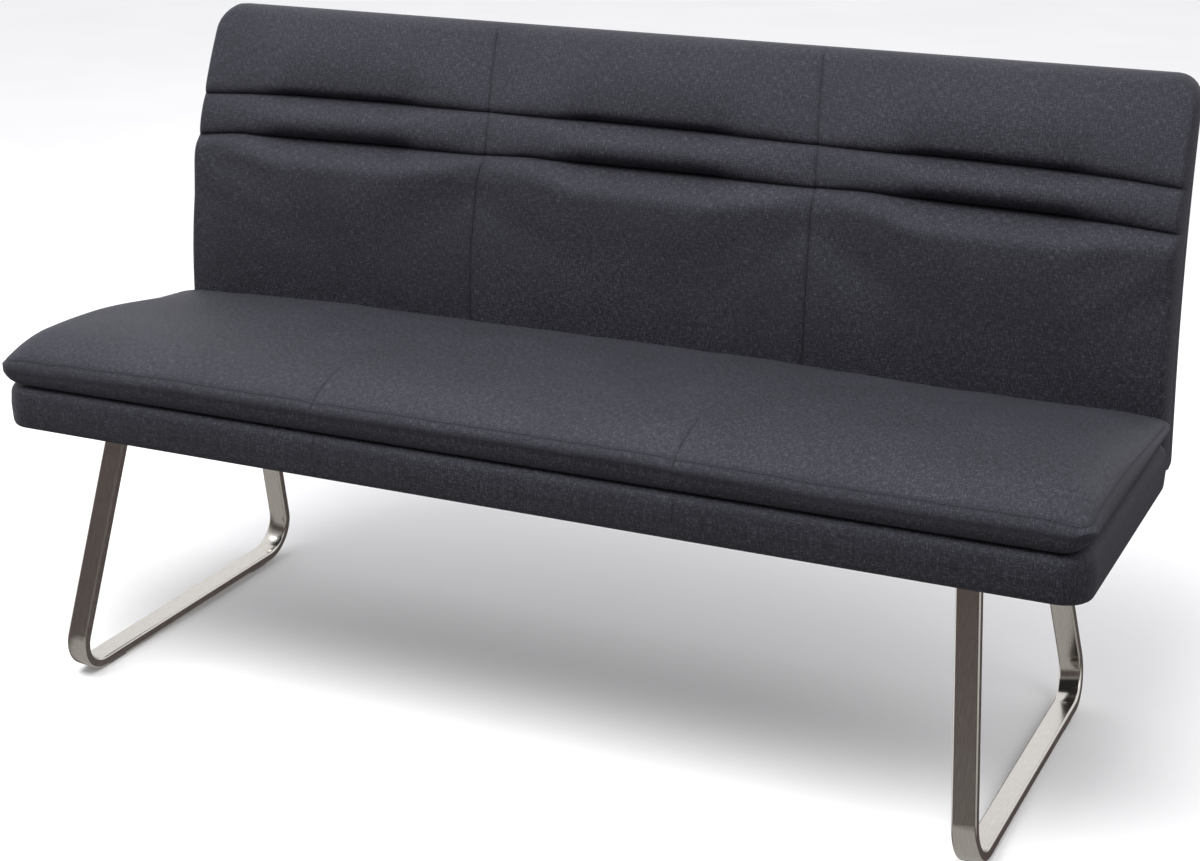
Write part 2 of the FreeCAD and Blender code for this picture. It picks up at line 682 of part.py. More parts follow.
def cushionSection(x):
    halfLength = size("seatLength") / 2
    end = halfLength - abs(x)
    front = cornerCut(end, size("cushionCorner"))
    rear = size("baseDepth") - size("softGap") - cornerCut(end, size("endRoll") / 4)
    low = size("baseTop") + size("softGap")
    seam = size("baseTop") + size("cushionSeam")
    swell = ellipse(end / size("endRoll"))
    dip = 0.0
    if abs(abs(x) - size("crossSeam")) < 1:
        dip = size("crossDip")
    crown = seam + (size("cushionCrown") - size("cushionSeam") - dip) * swell
    rearSeam = seam + (size("cushionRear") - size("cushionSeam")) * swell
    under = seam - (seam - low) * ellipse(end / size("cushionTuck"))
    tuck = size("cushionTuck")
    lift = size("crownLift") * swell
    crownF = front + size("crownFront")
    crownR = rear - size("crownRear")
    crownB = crown - 2 * lift

    def at(y, z):
        return Vec(x, y, z)

    frontMid = at(front + 0.32 * (crownF - front), seam + 0.72 * (crown - seam))
    topMid = at((crownF + crownR) / 2, max(crown, crownB) + lift)
    rearMid = at(rear - 0.34 * (rear - crownR), rearSeam + 0.72 * (crownB - rearSeam))
    lowRear = at(rear - 0.25 * tuck, (rearSeam + under) / 2 - 0.1 * (rearSeam - under))
    lowFront = at(front + 0.3 * tuck, (seam + under) / 2 - 0.12 * (seam - under))
    return wireOf([
        (at(front, seam), frontMid),
        (at(crownF, crown), topMid),
        (at(crownR, crownB), rearMid),
        (at(rear, rearSeam), lowRear),
        (at(rear - tuck, under),),
        (at(front + tuck, under), lowFront),
    ])


cross = size("crossSeam")
spread = size("crossSpread")
roll = size("endRoll")
stations = [cross - 3 * spread, cross - spread, cross, cross + spread, cross + 3 * spread]
for share in (1.4, 0.8, 0.5, 0.28, 0.13, 0.04, 0.008):
    stations.append(size("seatLength") / 2 - share * roll)
stations = [-x for x in reversed(stations)] + [0.0] + stations
cushion = doc.addObject("Part::Feature", "seat_cushion")
cushion.Shape = Part.makeLoft([cushionSection(x) for x in stations], True, True)
keep(cushion, "seat_cushion")


# Back: curved board, padded front in three columns, padded rear

def curved(base, radius, z):
    rise = max(z - size("backBend"), 0.0)
    return base + radius - math.sqrt(radius * radius - rise * rise)


def backSketch(body, name, front, frontRound, rear, rearRound, low, high):
    # Upright below the bend height, two arcs above it, closed by level lines.
    sketch = newSketch(body, "YZ_Plane", name)
    bend = size("backBend")
    top = size(high)
    middle = (bend + top) / 2

    def spot(base, radius, z):
        return Vec(curved(size(base), size(radius), z), z, 0)

    def bow(base, radius):
        return Part.Arc(spot(base, radius, bend), spot(base, radius, middle), spot(base, radius, top))

    sketch.addGeometry([
        Part.LineSegment(Vec(size(front), size(low), 0), spot(front, frontRound, bend)),
        bow(front, frontRound),
        Part.LineSegment(spot(front, frontRound, top), spot(rear, rearRound, top)),
        bow(rear, rearRound),
        Part.LineSegment(Vec(size(rear), size(low), 0), spot(rear, rearRound, bend)),
        Part.LineSegment(Vec(size(front), size(low), 0), Vec(size(rear), size(low), 0)),
    ])
    # An arc's first end is the one that a counterclockwise turn starts from.
    for arcIndex, lineIndex in ((1, 0), (3, 4)):
        arcEnd = 1 if sketch.getPoint(arcIndex, 1).y < sketch.getPoint(arcIndex, 2).y else 2
        sketch.addConstraint(Sketcher.Constraint("Tangent", lineIndex, 2, arcIndex, arcEnd))
        topEnd = 2 if lineIndex == 4 else 1
        sketch.addConstraint(Sketcher.Constraint("Coincident", arcIndex, 3 - arcEnd, 2, topEnd))
    sketch.addConstraint(Sketcher.Constraint("Coincident", 0, 1, 5, 1))
    sketch.addConstraint(Sketcher.Constraint("Coincident", 4, 1, 5, 2))
    for line in (0, 4):
        sketch.addConstraint(Sketcher.Constraint("Vertical", line))
    for line in (2, 5):
        sketch.addConstraint(Sketcher.Constraint("Horizontal", line))
    fix(sketch, "DistanceX", -1, 1, 0, 1, "Sizes." + front)
    fix(sketch, "DistanceY", -1, 1, 0, 1, "Sizes." + low)
    fix(sketch, "DistanceX", -1, 1, 4, 1, "Sizes." + rear)
    fix(sketch, "DistanceY", -1, 1, 0, 2, "Sizes.backBend")
    fix(sketch, "DistanceY", -1, 1, 4, 2, "Sizes.backBend")
    fix(sketch, "DistanceY", -1, 1, 2, 1, "Sizes." + high)
    fix(sketch, "Radius", 1, "Sizes." + frontRound)
    fix(sketch, "Radius", 3, "Sizes." + rearRound)
    return sketch


derive("boardRear", size("boardFront") + size("boardThick"))
derive("boardRearRadius", size("boardRadius") - size("boardThick"))
derive("boardBottom", size("backBottom") + size("boardLow"))
derive("boardHigh", size("backHeight") - size("boardTop"))
derive("boardHalf", size("backTopHalf") - size("boardInset"))
derive("roomBottom", size("boardBottom") - size("softGap"))
derive("roomHigh", size("boardHigh") + size("softGap"))
derive("roomRear", size("boardRear") + size("softGap"))
derive("roomRearRadius", size("boardRearRadius") - size("softGap"))
derive("roomFront", size("boardFront") - 2 * size("softGap"))
derive("roomFrontRadius", size("boardRadius") + 2 * size("softGap"))
derive("coverRear", size("boardRear") + size("rearThick"))

board = newBody("back_board")
profile = backSketch(board, "profile", "boardFront", "boardRadius", "boardRear",
                     "boardRearRadius", "boardBottom", "boardHigh")
pad(board, profile, "ply", "2 * Sizes.seatLength", symmetric=True)


def cutToOutline(body, lowHalf, topHalf, low, high, radius):
    # Trims a wide pad to the front view: tapered sides and two top corners rounded in steps.
    sketch = newSketch(body, "XZ_Plane", "front_view")
    far = "1.2 * Sizes.seatLength"
    ceiling = "2 * " + high
    polygon(sketch, [("-" + far, "-10"), (far, "-10"), (far, ceiling), ("-" + far, ceiling)])
    right = []
    for step in range(5):
        turn = step * math.pi / 8
        right.append(("%s - %s * %.6f" % (topHalf, radius, 1.0 - math.cos(turn)),
                      "%s - %s * %.6f" % (high, radius, 1.0 - math.sin(turn))))
    left = [("-(%s)" % across, up) for across, up in reversed(right)]
    polygon(sketch, [("-" + lowHalf, low), (lowHalf, low)] + right + left)
    return pocket(body, sketch, "sides")


cutToOutline(board, "Sizes.boardHalf", "Sizes.boardHalf", "Sizes.boardBottom", "Sizes.boardHigh",
             "Sizes.boardCorner")
spots = [(x, "Sizes.boardFront - Sizes.boardThick", "Sizes.backBoltZ") for x in backSpots]
prisms(board, "hole", spots, boreRadius, "shankSides", "3 * Sizes.boardThick", toRear=True, cut=True)

rear = newBody("back_rear_cover")
profile = backSketch(rear, "profile", "boardFront", "boardRadius", "coverRear",
                     "rearRadius", "backBottom", "backHeight")
pad(rear, profile, "padding", "2 * Sizes.seatLength", symmetric=True)
trimmed = cutToOutline(rear, "Sizes.backHalf", "Sizes.backTopHalf", "Sizes.backBottom", "Sizes.backHeight",
                       "Sizes.backCorner")


def rearEdge(edge):
    # Edges where the rear surface meets the sides, the top and the shoulders.
    middle = edge.valueAt((edge.FirstParameter + edge.LastParameter) / 2)
    onRear = abs(middle.y - curved(size("coverRear"), size("rearRadius"), middle.z)) < 0.05
    ends = abs(middle.x) > size("backTopHalf") - size("backCorner")
    return onRear and (ends or abs(middle.z - size("backHeight")) < 0.05)


chamfer(rear, trimmed, "rear_edge", "Sizes.rearEdge", rearEdge)
room = backSketch(rear, "board_room", "roomFront", "roomFrontRadius", "roomRear",
                  "roomRearRadius", "roomBottom", "roomHigh")
pocket(rear, room, "board_recess", "2 * Sizes.boardHalf + 2 * Sizes.softGap", symmetric=True)


def padSection(u, swell, sink, tuck):
    # One upright cut through the front padding at u, which is measured along the lower edge.
    low = size("backBottom")
    full = size("backHeight")
    lean = (size("backHalf") - size("backTopHalf")) / size("backHalf") / (full - low)
    end = size("backHalf") - abs(u)
    top = full - cornerCut(end, size("backCorner"))
    gap = size("softGap")
    parting = size("boardFront") - gap
    bend = size("backBend")
    lowSeam = size("lowSeam")
    highSeam = size("highSeam")
    roll = top - size("topRoll")

    def at(y, z):
        return Vec(u * (1.0 - lean * (z - low)), y, z)

    def face(z):
        # Front surface at this height: swollen between the seams, drawn in at them and by sink.
        near = curved(size("backFront"), size("frontRadius"), z)
        far = curved(parting, size("boardRadius") + gap, z)
        if z <= lowSeam:
            fullness = ellipse((lowSeam - z) / size("panelRoll"))
            push = swell * size("panelSwell") * min(max((z - bend) / (lowSeam - bend) * 1.5, 0.0), 1.0)
        elif z <= highSeam:
            fullness = ellipse((z - lowSeam) / size("bandRoll")) * ellipse((highSeam - z) / size("bandRoll"))
            push = swell * size("bandSwell")
        else:
            fullness = ellipse((z - highSeam) / size("headRoll"))
            push = swell * size("bandSwell") * ellipse((top - z) / size("headRoll"))
        return near + sink * (far - near) + tuck - (tuck + push) * fullness

    def core(z):
        return at(curved(parting, size("boardRadius") + gap, z), z)

    heights = [low, bend]
    for share in (2.6, 1.0, 0.45, 0.15):
        heights.append(lowSeam - share * min(size("panelRoll"), (lowSeam - bend) / 3))
    heights.append(lowSeam)
    for share in (0.15, 0.5, 0.85):
        heights.append(lowSeam + share * (highSeam - lowSeam))
    heights.append(highSeam)
    for share in (0.15, 0.5):
        heights.append(highSeam + share * (roll - highSeam))
    line = [(at(face(z), z),) for z in heights + [roll]]
    start = face(roll)
    far = core(top).y
    for share in (0.3, 0.65):
        line.append((at(start + share * (far - start), roll + size("topRoll") * ellipse(share)),))
    line += [(core(top), core((top + bend) / 2)), (core(bend),), (core(low),)]
    return wireOf(line)


def column(label, left, right, leftEnd, rightEnd):
    width = right - left
    sections = []
    drawn = size("seamSink") / size("padThick")
    rounding = size("endRound")
    if leftEnd:
        for share, sink in ((0.0, 0.62), (0.12, 0.36), (0.4, 0.13)):
            sections.append(padSection(left + share * rounding, 0.0, sink, 0.0))
        sections.append(padSection(left + rounding, 0.1, 0.0, size("tuckEnd") / 2))
    else:
        sections.append(padSection(left, 0.0, drawn, 0.0))
        sections.append(padSection(left + rounding, 0.45, 0.0, size("tuckEnd")))
    for share, deep in ((0.2, 0.45), (0.32, 0.9), (0.5, 1.0), (0.68, 0.9), (0.8, 0.45)):
        depth = size("tuckEnd") + deep * (size("tuckDepth") - size("tuckEnd"))
        sections.append(padSection(left + share * width, 0.6 + 0.4 * deep, 0.0, depth))
    if rightEnd:
        sections.append(padSection(right - rounding, 0.1, 0.0, size("tuckEnd") / 2))
        for share, sink in ((0.4, 0.13), (0.12, 0.36), (0.0, 0.62)):
            sections.append(padSection(right - share * rounding, 0.0, sink, 0.0))
    else:
        sections.append(padSection(right - rounding, 0.45, 0.0, size("tuckEnd")))
        sections.append(padSection(right, 0.0, drawn, 0.0))
    solid = Part.makeLoft(sections, True, True)
    bore = size("boltDia") / 2 + size("holeGap")
    sides = int(size("shankSides"))
    for i in range(int(size("backBoltCount"))):
        x = (i - (size("backBoltCount") - 1) / 2) * size("backBoltPitch")
        if left < x < right:
            start = size("backFront") - size("padThick")
            spots = []
            for k in range(sides + 1):
                angle = 2 * math.pi * k / sides
                spots.append(Vec(x + bore * math.cos(angle), start, size("backBoltZ") + bore * math.sin(angle)))
            hole = Part.Face(Part.makePolygon(spots)).extrude(Vec(0, 3 * size("padThick"), 0))
            solid = solid.cut(hole)
    piece = doc.addObject("Part::Feature", label)
    piece.Shape = solid
    keep(piece, label)


seamX = size("columnSeam")
halfGap = size("softGap") / 2
column("back_pad_left", -size("backHalf"), -seamX - halfGap, True, False)
column("back_pad_middle", -seamX + halfGap, seamX - halfGap, False, False)
column("back_pad_right", seamX + halfGap, size("backHalf"), False, True)


# Bolts, washers and inserts that hold the back to the seat's rear rail

railFace = "Sizes.baseDepth - Sizes.wallIn - Sizes.railThick"
washerFace = railFace + " - Sizes.washerThick"


def toBack(along):
    return [(x, along, "Sizes.backBoltZ") for x in backSpots]


backBolts = newBody("back_bolts")
prisms(backBolts, "shank", toBack(washerFace), "Sizes.boltDia / 2", "shankSides",
       "Sizes.boardRear - (%s)" % washerFace, toRear=True)
prisms(backBolts, "head", toBack(washerFace + " - Sizes.headHeight"), "Sizes.headDia / 2", "headSides",
       "Sizes.headHeight", toRear=True)
backWashers = newBody("back_washers")
prisms(backWashers, "ring", toBack(washerFace), "Sizes.washerDia / 2", "washerSides",
       "Sizes.washerThick", toRear=True)
prisms(backWashers, "hole", toBack(washerFace + " - Sizes.washerThick"), holeRadius, "shankSides",
       "3 * Sizes.washerThick", toRear=True, cut=True)
backInserts = newBody("back_inserts")
prisms(backInserts, "sleeve", toBack("Sizes.boardFront"), "Sizes.insertDia / 2", "shankSides",
       "Sizes.boardThick", toRear=True)
prisms(backInserts, "bore", toBack("Sizes.boardFront - Sizes.boardThick"), holeRadius, "shankSides",
       "3 * Sizes.boardThick", toRear=True, cut=True)
doc.recompute()

# The origin lies on the floor under the middle of the whole bench.
boxes = [piece.Shape.optimalBoundingBox(False, False) for piece in parts]
front = min(box.YMin for box in boxes)
behind = max(box.YMax for box in boxes)
derive("baseFrontY", size("baseFrontY") - (front + behind) / 2)
doc.recompute()

for obj in doc.Objects:
    if "Invalid" in obj.State or "Error" in obj.State:
        raise RuntimeError("%s is %s" % (obj.Name, obj.State))
for piece in parts:
    if piece.Shape.isNull() or not piece.Shape.isValid():
        raise RuntimeError("%s has no valid shape" % piece.Label)

os.makedirs("parts", exist_ok=True)
for piece in parts:
    piece.Shape.exportStep("parts/%s.step" % piece.Label)
    box = piece.Shape.optimalBoundingBox(False, False)
    print("%-20s %2d solids  %9.1f cm3  x %7.1f %7.1f  y %7.1f %7.1f  z %6.1f %6.1f" % (
        piece.Label, len(piece.Shape.Solids), piece.Shape.Volume / 1000,
        box.XMin, box.XMax, box.YMin, box.YMax, box.ZMin, box.ZMax))
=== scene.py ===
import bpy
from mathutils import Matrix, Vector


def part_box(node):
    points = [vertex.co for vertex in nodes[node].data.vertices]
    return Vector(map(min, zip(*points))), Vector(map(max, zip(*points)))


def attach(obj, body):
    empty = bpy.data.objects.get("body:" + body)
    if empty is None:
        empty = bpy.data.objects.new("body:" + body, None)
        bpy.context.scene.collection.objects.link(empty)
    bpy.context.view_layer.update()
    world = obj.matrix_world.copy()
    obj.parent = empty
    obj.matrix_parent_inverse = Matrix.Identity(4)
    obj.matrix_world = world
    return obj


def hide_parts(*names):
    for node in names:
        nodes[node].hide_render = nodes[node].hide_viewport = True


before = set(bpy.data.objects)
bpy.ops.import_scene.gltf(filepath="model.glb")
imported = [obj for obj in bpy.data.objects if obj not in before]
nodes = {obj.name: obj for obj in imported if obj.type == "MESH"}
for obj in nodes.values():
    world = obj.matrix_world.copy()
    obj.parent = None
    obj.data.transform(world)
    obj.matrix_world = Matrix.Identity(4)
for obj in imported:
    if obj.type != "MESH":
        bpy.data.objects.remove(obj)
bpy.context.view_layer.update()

import math

import bpy
import numpy as np

scene = bpy.context.scene


# Small helpers

def smooth(value):
    value = np.clip(value, 0.0, 1.0)
    return value * value * (3.0 - 2.0 * value)


def roundRise(share):
    # Quarter ellipse, 0 at the edge and 1 where the rounding ends.
    share = np.clip(share, 0.0, 1.0)
    return np.sqrt(1.0 - (1.0 - share) ** 2)


def bow(share):
    # Parabola, 0 at the edge and 1 where the slope has run out.
    return 1.0 - (1.0 - np.clip(share, 0.0, 1.0)) ** 2


def groove(gap, width):
    # Sharp line, 1 at no gap.
    return np.exp(-gap / width)


def ridge(gap, width):
    # Soft line, 1 at no gap.
    return np.exp(-(gap / width) ** 2)


waveValues = {"shares": (1.0, 0.6, 0.4, 0.3), "turn": 6.283, "seedStep": 0.618, "sineStep": 0.371,
              "pitchStep": 0.83, "level": 1.6}


def waves(place, scale, seed):
    # Smooth repeatable ripple, mostly between -1 and 1.
    total = 0.0
    for i, share in enumerate(waveValues["shares"]):
        start = math.fmod(seed * waveValues["seedStep"] + i * waveValues["sineStep"], 1.0)
        pitch = scale * (1.0 + waveValues["pitchStep"] * i)
        total = total + share * np.sin(place * pitch + waveValues["turn"] * start)
    return total / waveValues["level"]


def graded(stops, fine, step):
    # Positions through the stops, close together beside each stop.
    places = []
    for a, b in zip(stops[:-1], stops[1:]):
        near = [d for d in fine if d < (b - a) / 2 - step / 3]
        left = [a + d for d in near]
        right = [b - d for d in reversed(near)]
        count = max(1, round((right[0] - left[-1]) / step))
        middle = [left[-1] + (right[0] - left[-1]) * i / count for i in range(1, count)]
        places += (left + middle + right)[:-1]
    return np.array(places + [stops[-1]])


# Distances from a seam or an edge at which grid lines lie close together
fineRows = [0, 0.0004, 0.0012, 0.0025, 0.0045, 0.0075, 0.0115, 0.0165, 0.0225, 0.0295]


# Closed pads

def meshObject(name, points, faces, uvs=None):
    mesh = bpy.data.meshes.new(name)
    mesh.from_pydata([tuple(p) for p in points], [], faces)
    mesh.update()
    if uvs is not None:
        layer = mesh.uv_layers.new(name="cloth")
        loops = np.zeros(len(mesh.loops), np.int32)
        mesh.loops.foreach_get("vertex_index", loops)
        layer.data.foreach_set("uv", uvs[loops].astype(np.float32).ravel())
    mesh.polygons.foreach_set("use_smooth", [True] * len(mesh.polygons))
    obj = bpy.data.objects.new(name, mesh)
    scene.collection.objects.link(obj)
    return obj


def surfaceLengths(grid):
    # Length along the rows and up the columns of a grid, from its middle.
    flat = []
    for axis in (1, 0):
        steps = np.sqrt(sum(np.diff(part, axis=axis) ** 2 for part in grid))
        length = np.insert(np.cumsum(steps, axis=axis), 0, 0.0, axis=axis)
        middle = np.take(length, [length.shape[axis] // 2], axis=axis)
        flat.append((length - middle).ravel())
    return np.stack(flat, 1)


def gridFaces(index, turned=False):
    corners = [index[:-1, :-1], index[:-1, 1:], index[1:, 1:], index[1:, :-1]]
    return np.stack(corners[::-1] if turned else corners, -1).reshape(-1, 4).tolist()


def closedPad(name, front, rear, paintedShade=None, paintedShadeRear=None):
    # Two grids with a common rim. The shade values darken the cloth along its seams: painted shade for the
    # shadow in the sewn grooves.
    rows, cols = front[0].shape
    count = rows * cols
    frontPoints = np.stack([axis.ravel() for axis in front], 1)
    rearPoints = np.stack([axis[1:-1, 1:-1].ravel() for axis in rear], 1)
    frontIndex = np.arange(count).reshape(rows, cols)
    rearIndex = frontIndex.copy()
    rearIndex[1:-1, 1:-1] = count + np.arange(len(rearPoints)).reshape(rows - 2, cols - 2)
    faces = gridFaces(frontIndex) + gridFaces(rearIndex, turned=True)
    rearLengths = surfaceLengths(rear).reshape(rows, cols, 2)[1:-1, 1:-1].reshape(-1, 2)
    uvs = np.vstack([surfaceLengths(front), rearLengths])
    obj = meshObject(name, np.vstack([frontPoints, rearPoints]), faces, uvs)
    if paintedShade is not None:
        shade = np.zeros(len(obj.data.vertices), np.float32)
        shade[:count] = paintedShade.ravel()
        if paintedShadeRear is not None:
            shade[count:] = paintedShadeRear[1:-1, 1:-1].ravel()
        obj.data.attributes.new("paintedShade", "FLOAT", "POINT").data.foreach_set("value", shade)
    return obj


clothValues = {"frames": 20, "quality": 5, "mass": 0.4, "stretch": 12.0, "shear": 4.0, "bending": 0.4}


def inflate(front, rear, held, values):
    # Cloth on a coarse closed pad. Gives how far each front point moved, at most the cap.
    rows, cols = front[0].shape
    count = rows * cols
    obj = closedPad("sim_pad", front, rear)
    group = obj.vertex_groups.new(name="held")
    weights = np.ones(len(obj.data.vertices))
    weights[:count] = held.ravel()
    group.add(np.flatnonzero(weights).tolist(), 1.0, "REPLACE")
    cloth = obj.modifiers.new("Cloth", "CLOTH")
    settings = cloth.settings
    settings.quality = clothValues["quality"]
    settings.mass = clothValues["mass"]
    settings.tension_stiffness = clothValues["stretch"]
    settings.compression_stiffness = clothValues["stretch"]
    settings.shear_stiffness = clothValues["shear"]
    settings.bending_stiffness = clothValues["bending"]
    settings.vertex_group_mass = "held"
    settings.use_pressure = True
    settings.uniform_pressure_force = values["pressure"]
    settings.shrink_min = -values["growth"]
    settings.effector_weights.gravity = 0.0
    cloth.collision_settings.use_collision = False
    cloth.point_cache.frame_start = 1
    cloth.point_cache.frame_end = clothValues["frames"]
    for step in range(1, clothValues["frames"] + 1):
        scene.frame_set(step)
    shown = obj.evaluated_get(bpy.context.evaluated_depsgraph_get())
    after = np.zeros(len(shown.data.vertices) * 3, np.float32)
    shown.data.vertices.foreach_get("co", after)
    moved = after.reshape(-1, 3)[:count] - np.stack([axis.ravel() for axis in front], 1)
    length = np.maximum(np.linalg.norm(moved, axis=1), 1e-9)
    moved = moved * (np.minimum(length, values["cap"]) / length)[:, None]
    bpy.data.objects.remove(obj)
    scene.frame_set(1)
    print("simulated, largest move %.1f mm" % (1000 * length.max()))
    return moved.reshape(rows, cols, 3)


def spread(field, coarse, fine):
    # Carries a coarse field over to a finer grid, by the two grids' places.
    wide = [[np.interp(fine["across"], coarse["across"], row[:, k]) for k in range(3)] for row in field]
    wide = np.stack(wide)
    return [np.stack([np.interp(fine["along"], coarse["along"], column) for column in wide[:, k].T], 1)
            for k in range(3)]


# Materials

def newMaterial(name):
    material = bpy.data.materials.new(name)
    material.use_nodes = True
    tree = material.node_tree
    return material, tree, tree.nodes["Principled BSDF"]


def addNode(tree, kind, **values):
    node = tree.nodes.new(kind)
    for key, value in values.items():
        if hasattr(node, key):
            setattr(node, key, value)
        else:
            node.inputs[key].default_value = value
    return node


def ramp(tree, source, stops):
    node = tree.nodes.new("ShaderNodeValToRGB")
    elements = node.color_ramp.elements
    while len(elements) < len(stops):
        elements.new(0.5)
    for element, (position, colour) in zip(elements, stops):
        element.position = position
        element.color = (*colour, 1.0)
    tree.links.new(source, node.inputs["Fac"])
    return node.outputs["Color"]


def scaled(tree, source, size):
    node = tree.nodes.new("ShaderNodeMapping")
    node.inputs["Scale"].default_value = size
    tree.links.new(source, node.inputs["Vector"])
    return node.outputs["Vector"]


def noiseOf(tree, vector, scale, detail=2.0, rough=0.5):
    node = addNode(tree, "ShaderNodeTexNoise", Scale=scale, Detail=detail, Roughness=rough)
    tree.links.new(vector, node.inputs["Vector"])
    return node.outputs["Fac"]


def math2(tree, operation, a, b):
    node = addNode(tree, "ShaderNodeMath", operation=operation)
    for socket, value in zip(node.inputs, (a, b)):
        if isinstance(value, (int, float)):
            socket.default_value = value
        else:
            tree.links.new(value, socket)
    return node.outputs[0]


def weighted(tree, *pairs):
    # Sum of values, each times its share.
    total = None
    for value, share in pairs:
        part = math2(tree, "MULTIPLY", value, share)
        total = part if total is None else math2(tree, "ADD", total, part)
    return total


def addBump(tree, shader, height, strength, distance):
    node = addNode(tree, "ShaderNodeBump", Strength=strength, Distance=distance)
    tree.links.new(height, node.inputs["Height"])
    tree.links.new(node.outputs["Normal"], shader.inputs["Normal"])


usualEdges = (0.3, 0.7)  # between these a noise changes from its low to its high value


def addRoughness(tree, shader, source, low, high):
    greys = [(low,) * 3, (high,) * 3]
    tree.links.new(ramp(tree, source, list(zip(usualEdges, greys))), shader.inputs["Roughness"])


weaveValues = {
    "colours": [(0.42, (0.0030, 0.0030, 0.0040)), (0.50, (0.0072, 0.0072, 0.0088)),
                (0.62, (0.050, 0.050, 0.062))],
    "grainScale": 540.0, "grainDetail": 3.0, "grainRough": 0.75, "grainShare": 0.40,
    "slubAcross": (110.0, 560.0, 1.0), "slubUp": (560.0, 100.0, 1.0), "slubShare": 0.27,
    "cloudScale": 9.0, "cloudDetail": 3.0, "cloudShare": 0.06,
    "thread": 0.0011, "bandsPerScale": 3.2, "distortion": 1.2,
    "threadRelief": 0.4, "grainRelief": 1.6, "bump": 0.60, "bumpDeep": 0.0010,
    "roughLow": 0.52, "roughHigh": 0.68, "creaseShade": 0.8,
    "sheen": 0.06, "sheenRough": 0.45, "sheenTint": (0.70, 0.70, 0.85),
    "specular": 0.46, "specularTint": (0.80, 0.80, 1.0)}


def weaveMaterial(name, values):
    material, tree, shader = newMaterial(name)
    place = addNode(tree, "ShaderNodeTexCoord").outputs["Object"]
    uv = addNode(tree, "ShaderNodeUVMap", uv_map="cloth").outputs["UV"]
    grain = noiseOf(tree, place, values["grainScale"], values["grainDetail"], values["grainRough"])
    slubs = math2(tree, "ADD", noiseOf(tree, scaled(tree, uv, values["slubAcross"]), 1.0),
                  noiseOf(tree, scaled(tree, uv, values["slubUp"]), 1.0))
    cloud = noiseOf(tree, place, values["cloudScale"], values["cloudDetail"])
    mixed = weighted(tree, (grain, values["grainShare"]), (slubs, values["slubShare"]),
                     (cloud, values["cloudShare"]))
    colour = ramp(tree, mixed, values["colours"])
    # Painted shade: the cloth colour is darkened along seams and edges by the mesh's shade attribute.
    paintedShade = addNode(tree, "ShaderNodeAttribute", attribute_name="paintedShade").outputs["Fac"]
    shade = math2(tree, "SUBTRACT", 1.0, math2(tree, "MULTIPLY", paintedShade, values["creaseShade"]))
    darken = addNode(tree, "ShaderNodeVectorMath", operation="SCALE")
    tree.links.new(colour, darken.inputs[0])
    tree.links.new(shade, darken.inputs["Scale"])
    tree.links.new(darken.outputs[0], shader.inputs["Base Color"])
    threads = []
    for direction in ("X", "Y"):
        wave = addNode(tree, "ShaderNodeTexWave", bands_direction=direction, Distortion=values["distortion"],
                       Scale=1.0 / (values["thread"] * values["bandsPerScale"]))
        tree.links.new(uv, wave.inputs["Vector"])
        threads.append(wave.outputs["Fac"])
    relief = weighted(tree, (math2(tree, "MAXIMUM", *threads), values["threadRelief"]),
                      (mixed, values["grainRelief"]))
    addBump(tree, shader, relief, values["bump"], values["bumpDeep"])
    addRoughness(tree, shader, grain, values["roughLow"], values["roughHigh"])
    shader.inputs["Sheen Weight"].default_value = values["sheen"]
    shader.inputs["Sheen Roughness"].default_value = values["sheenRough"]
    shader.inputs["Sheen Tint"].default_value = (*values["sheenTint"], 1.0)
    shader.inputs["Specular IOR Level"].default_value = values["specular"]
    shader.inputs["Specular Tint"].default_value = (*values["specularTint"], 1.0)
    return material


# Speckled or streaked finishes, from a low to a high colour
plainValues = {
    "stainless": {"low": (0.57, 0.54, 0.50), "high": (0.67, 0.64, 0.585), "edges": (0.35, 0.65),
                  "scale": 60.0, "stretch": (30, 1, 1), "rough": (0.15, 0.22), "metallic": 1.0, "bump": 0.02},
    "plate_steel": {"low": (0.02, 0.02, 0.022), "high": (0.035, 0.035, 0.038), "scale": 300.0},
    "zinc_steel": {"low": (0.50, 0.51, 0.53), "high": (0.64, 0.65, 0.66), "scale": 500.0,
                   "rough": (0.3, 0.45), "metallic": 1.0},
    "glide_plastic": {"low": (0.02, 0.02, 0.02), "high": (0.035, 0.035, 0.035), "scale": 900.0},
    "timber": {"low": (0.50, 0.34, 0.19), "high": (0.66, 0.48, 0.29), "scale": 12.0, "stretch": (1, 9, 9)},
    "plywood": {"low": (0.47, 0.33, 0.19), "high": (0.62, 0.46, 0.29), "scale": 14.0, "stretch": (1, 6, 20)},
    "strap_cloth": {"low": (0.03, 0.03, 0.03), "high": (0.08, 0.08, 0.08), "scale": 400.0,
                    "stretch": (1, 12, 1)},
    "dust_cloth": {"low": (0.012, 0.012, 0.013), "high": (0.03, 0.03, 0.032), "scale": 700.0},
    "foam": {"low": (0.62, 0.58, 0.44), "high": (0.75, 0.71, 0.56), "scale": 500.0},
    "thread": {"low": (0.010, 0.010, 0.012), "high": (0.024, 0.024, 0.028), "scale": 1500.0,
               "rough": (0.55, 0.7)},
    "floor_paint": {"low": (0.84, 0.84, 0.84), "high": (0.87, 0.87, 0.87), "scale": 2.0,
                    "rough": (0.7, 0.8), "bump": 0.0}}
plainDetail = {"detail": 4.0, "rough": 0.55, "bumpDeep": 0.0005}


def plainMaterial(name, low, high, scale, edges=usualEdges, stretch=(1, 1, 1), rough=(0.5, 0.7),
                  metallic=0.0, bump=0.1):
    material, tree, shader = newMaterial(name)
    place = addNode(tree, "ShaderNodeTexCoord").outputs["Object"]
    pattern = noiseOf(tree, scaled(tree, place, stretch), scale, plainDetail["detail"], plainDetail["rough"])
    tree.links.new(ramp(tree, pattern, list(zip(edges, (low, high)))), shader.inputs["Base Color"])
    addRoughness(tree, shader, pattern, *rough)
    addBump(tree, shader, pattern, bump, plainDetail["bumpDeep"])
    shader.inputs["Metallic"].default_value = metallic
    return material


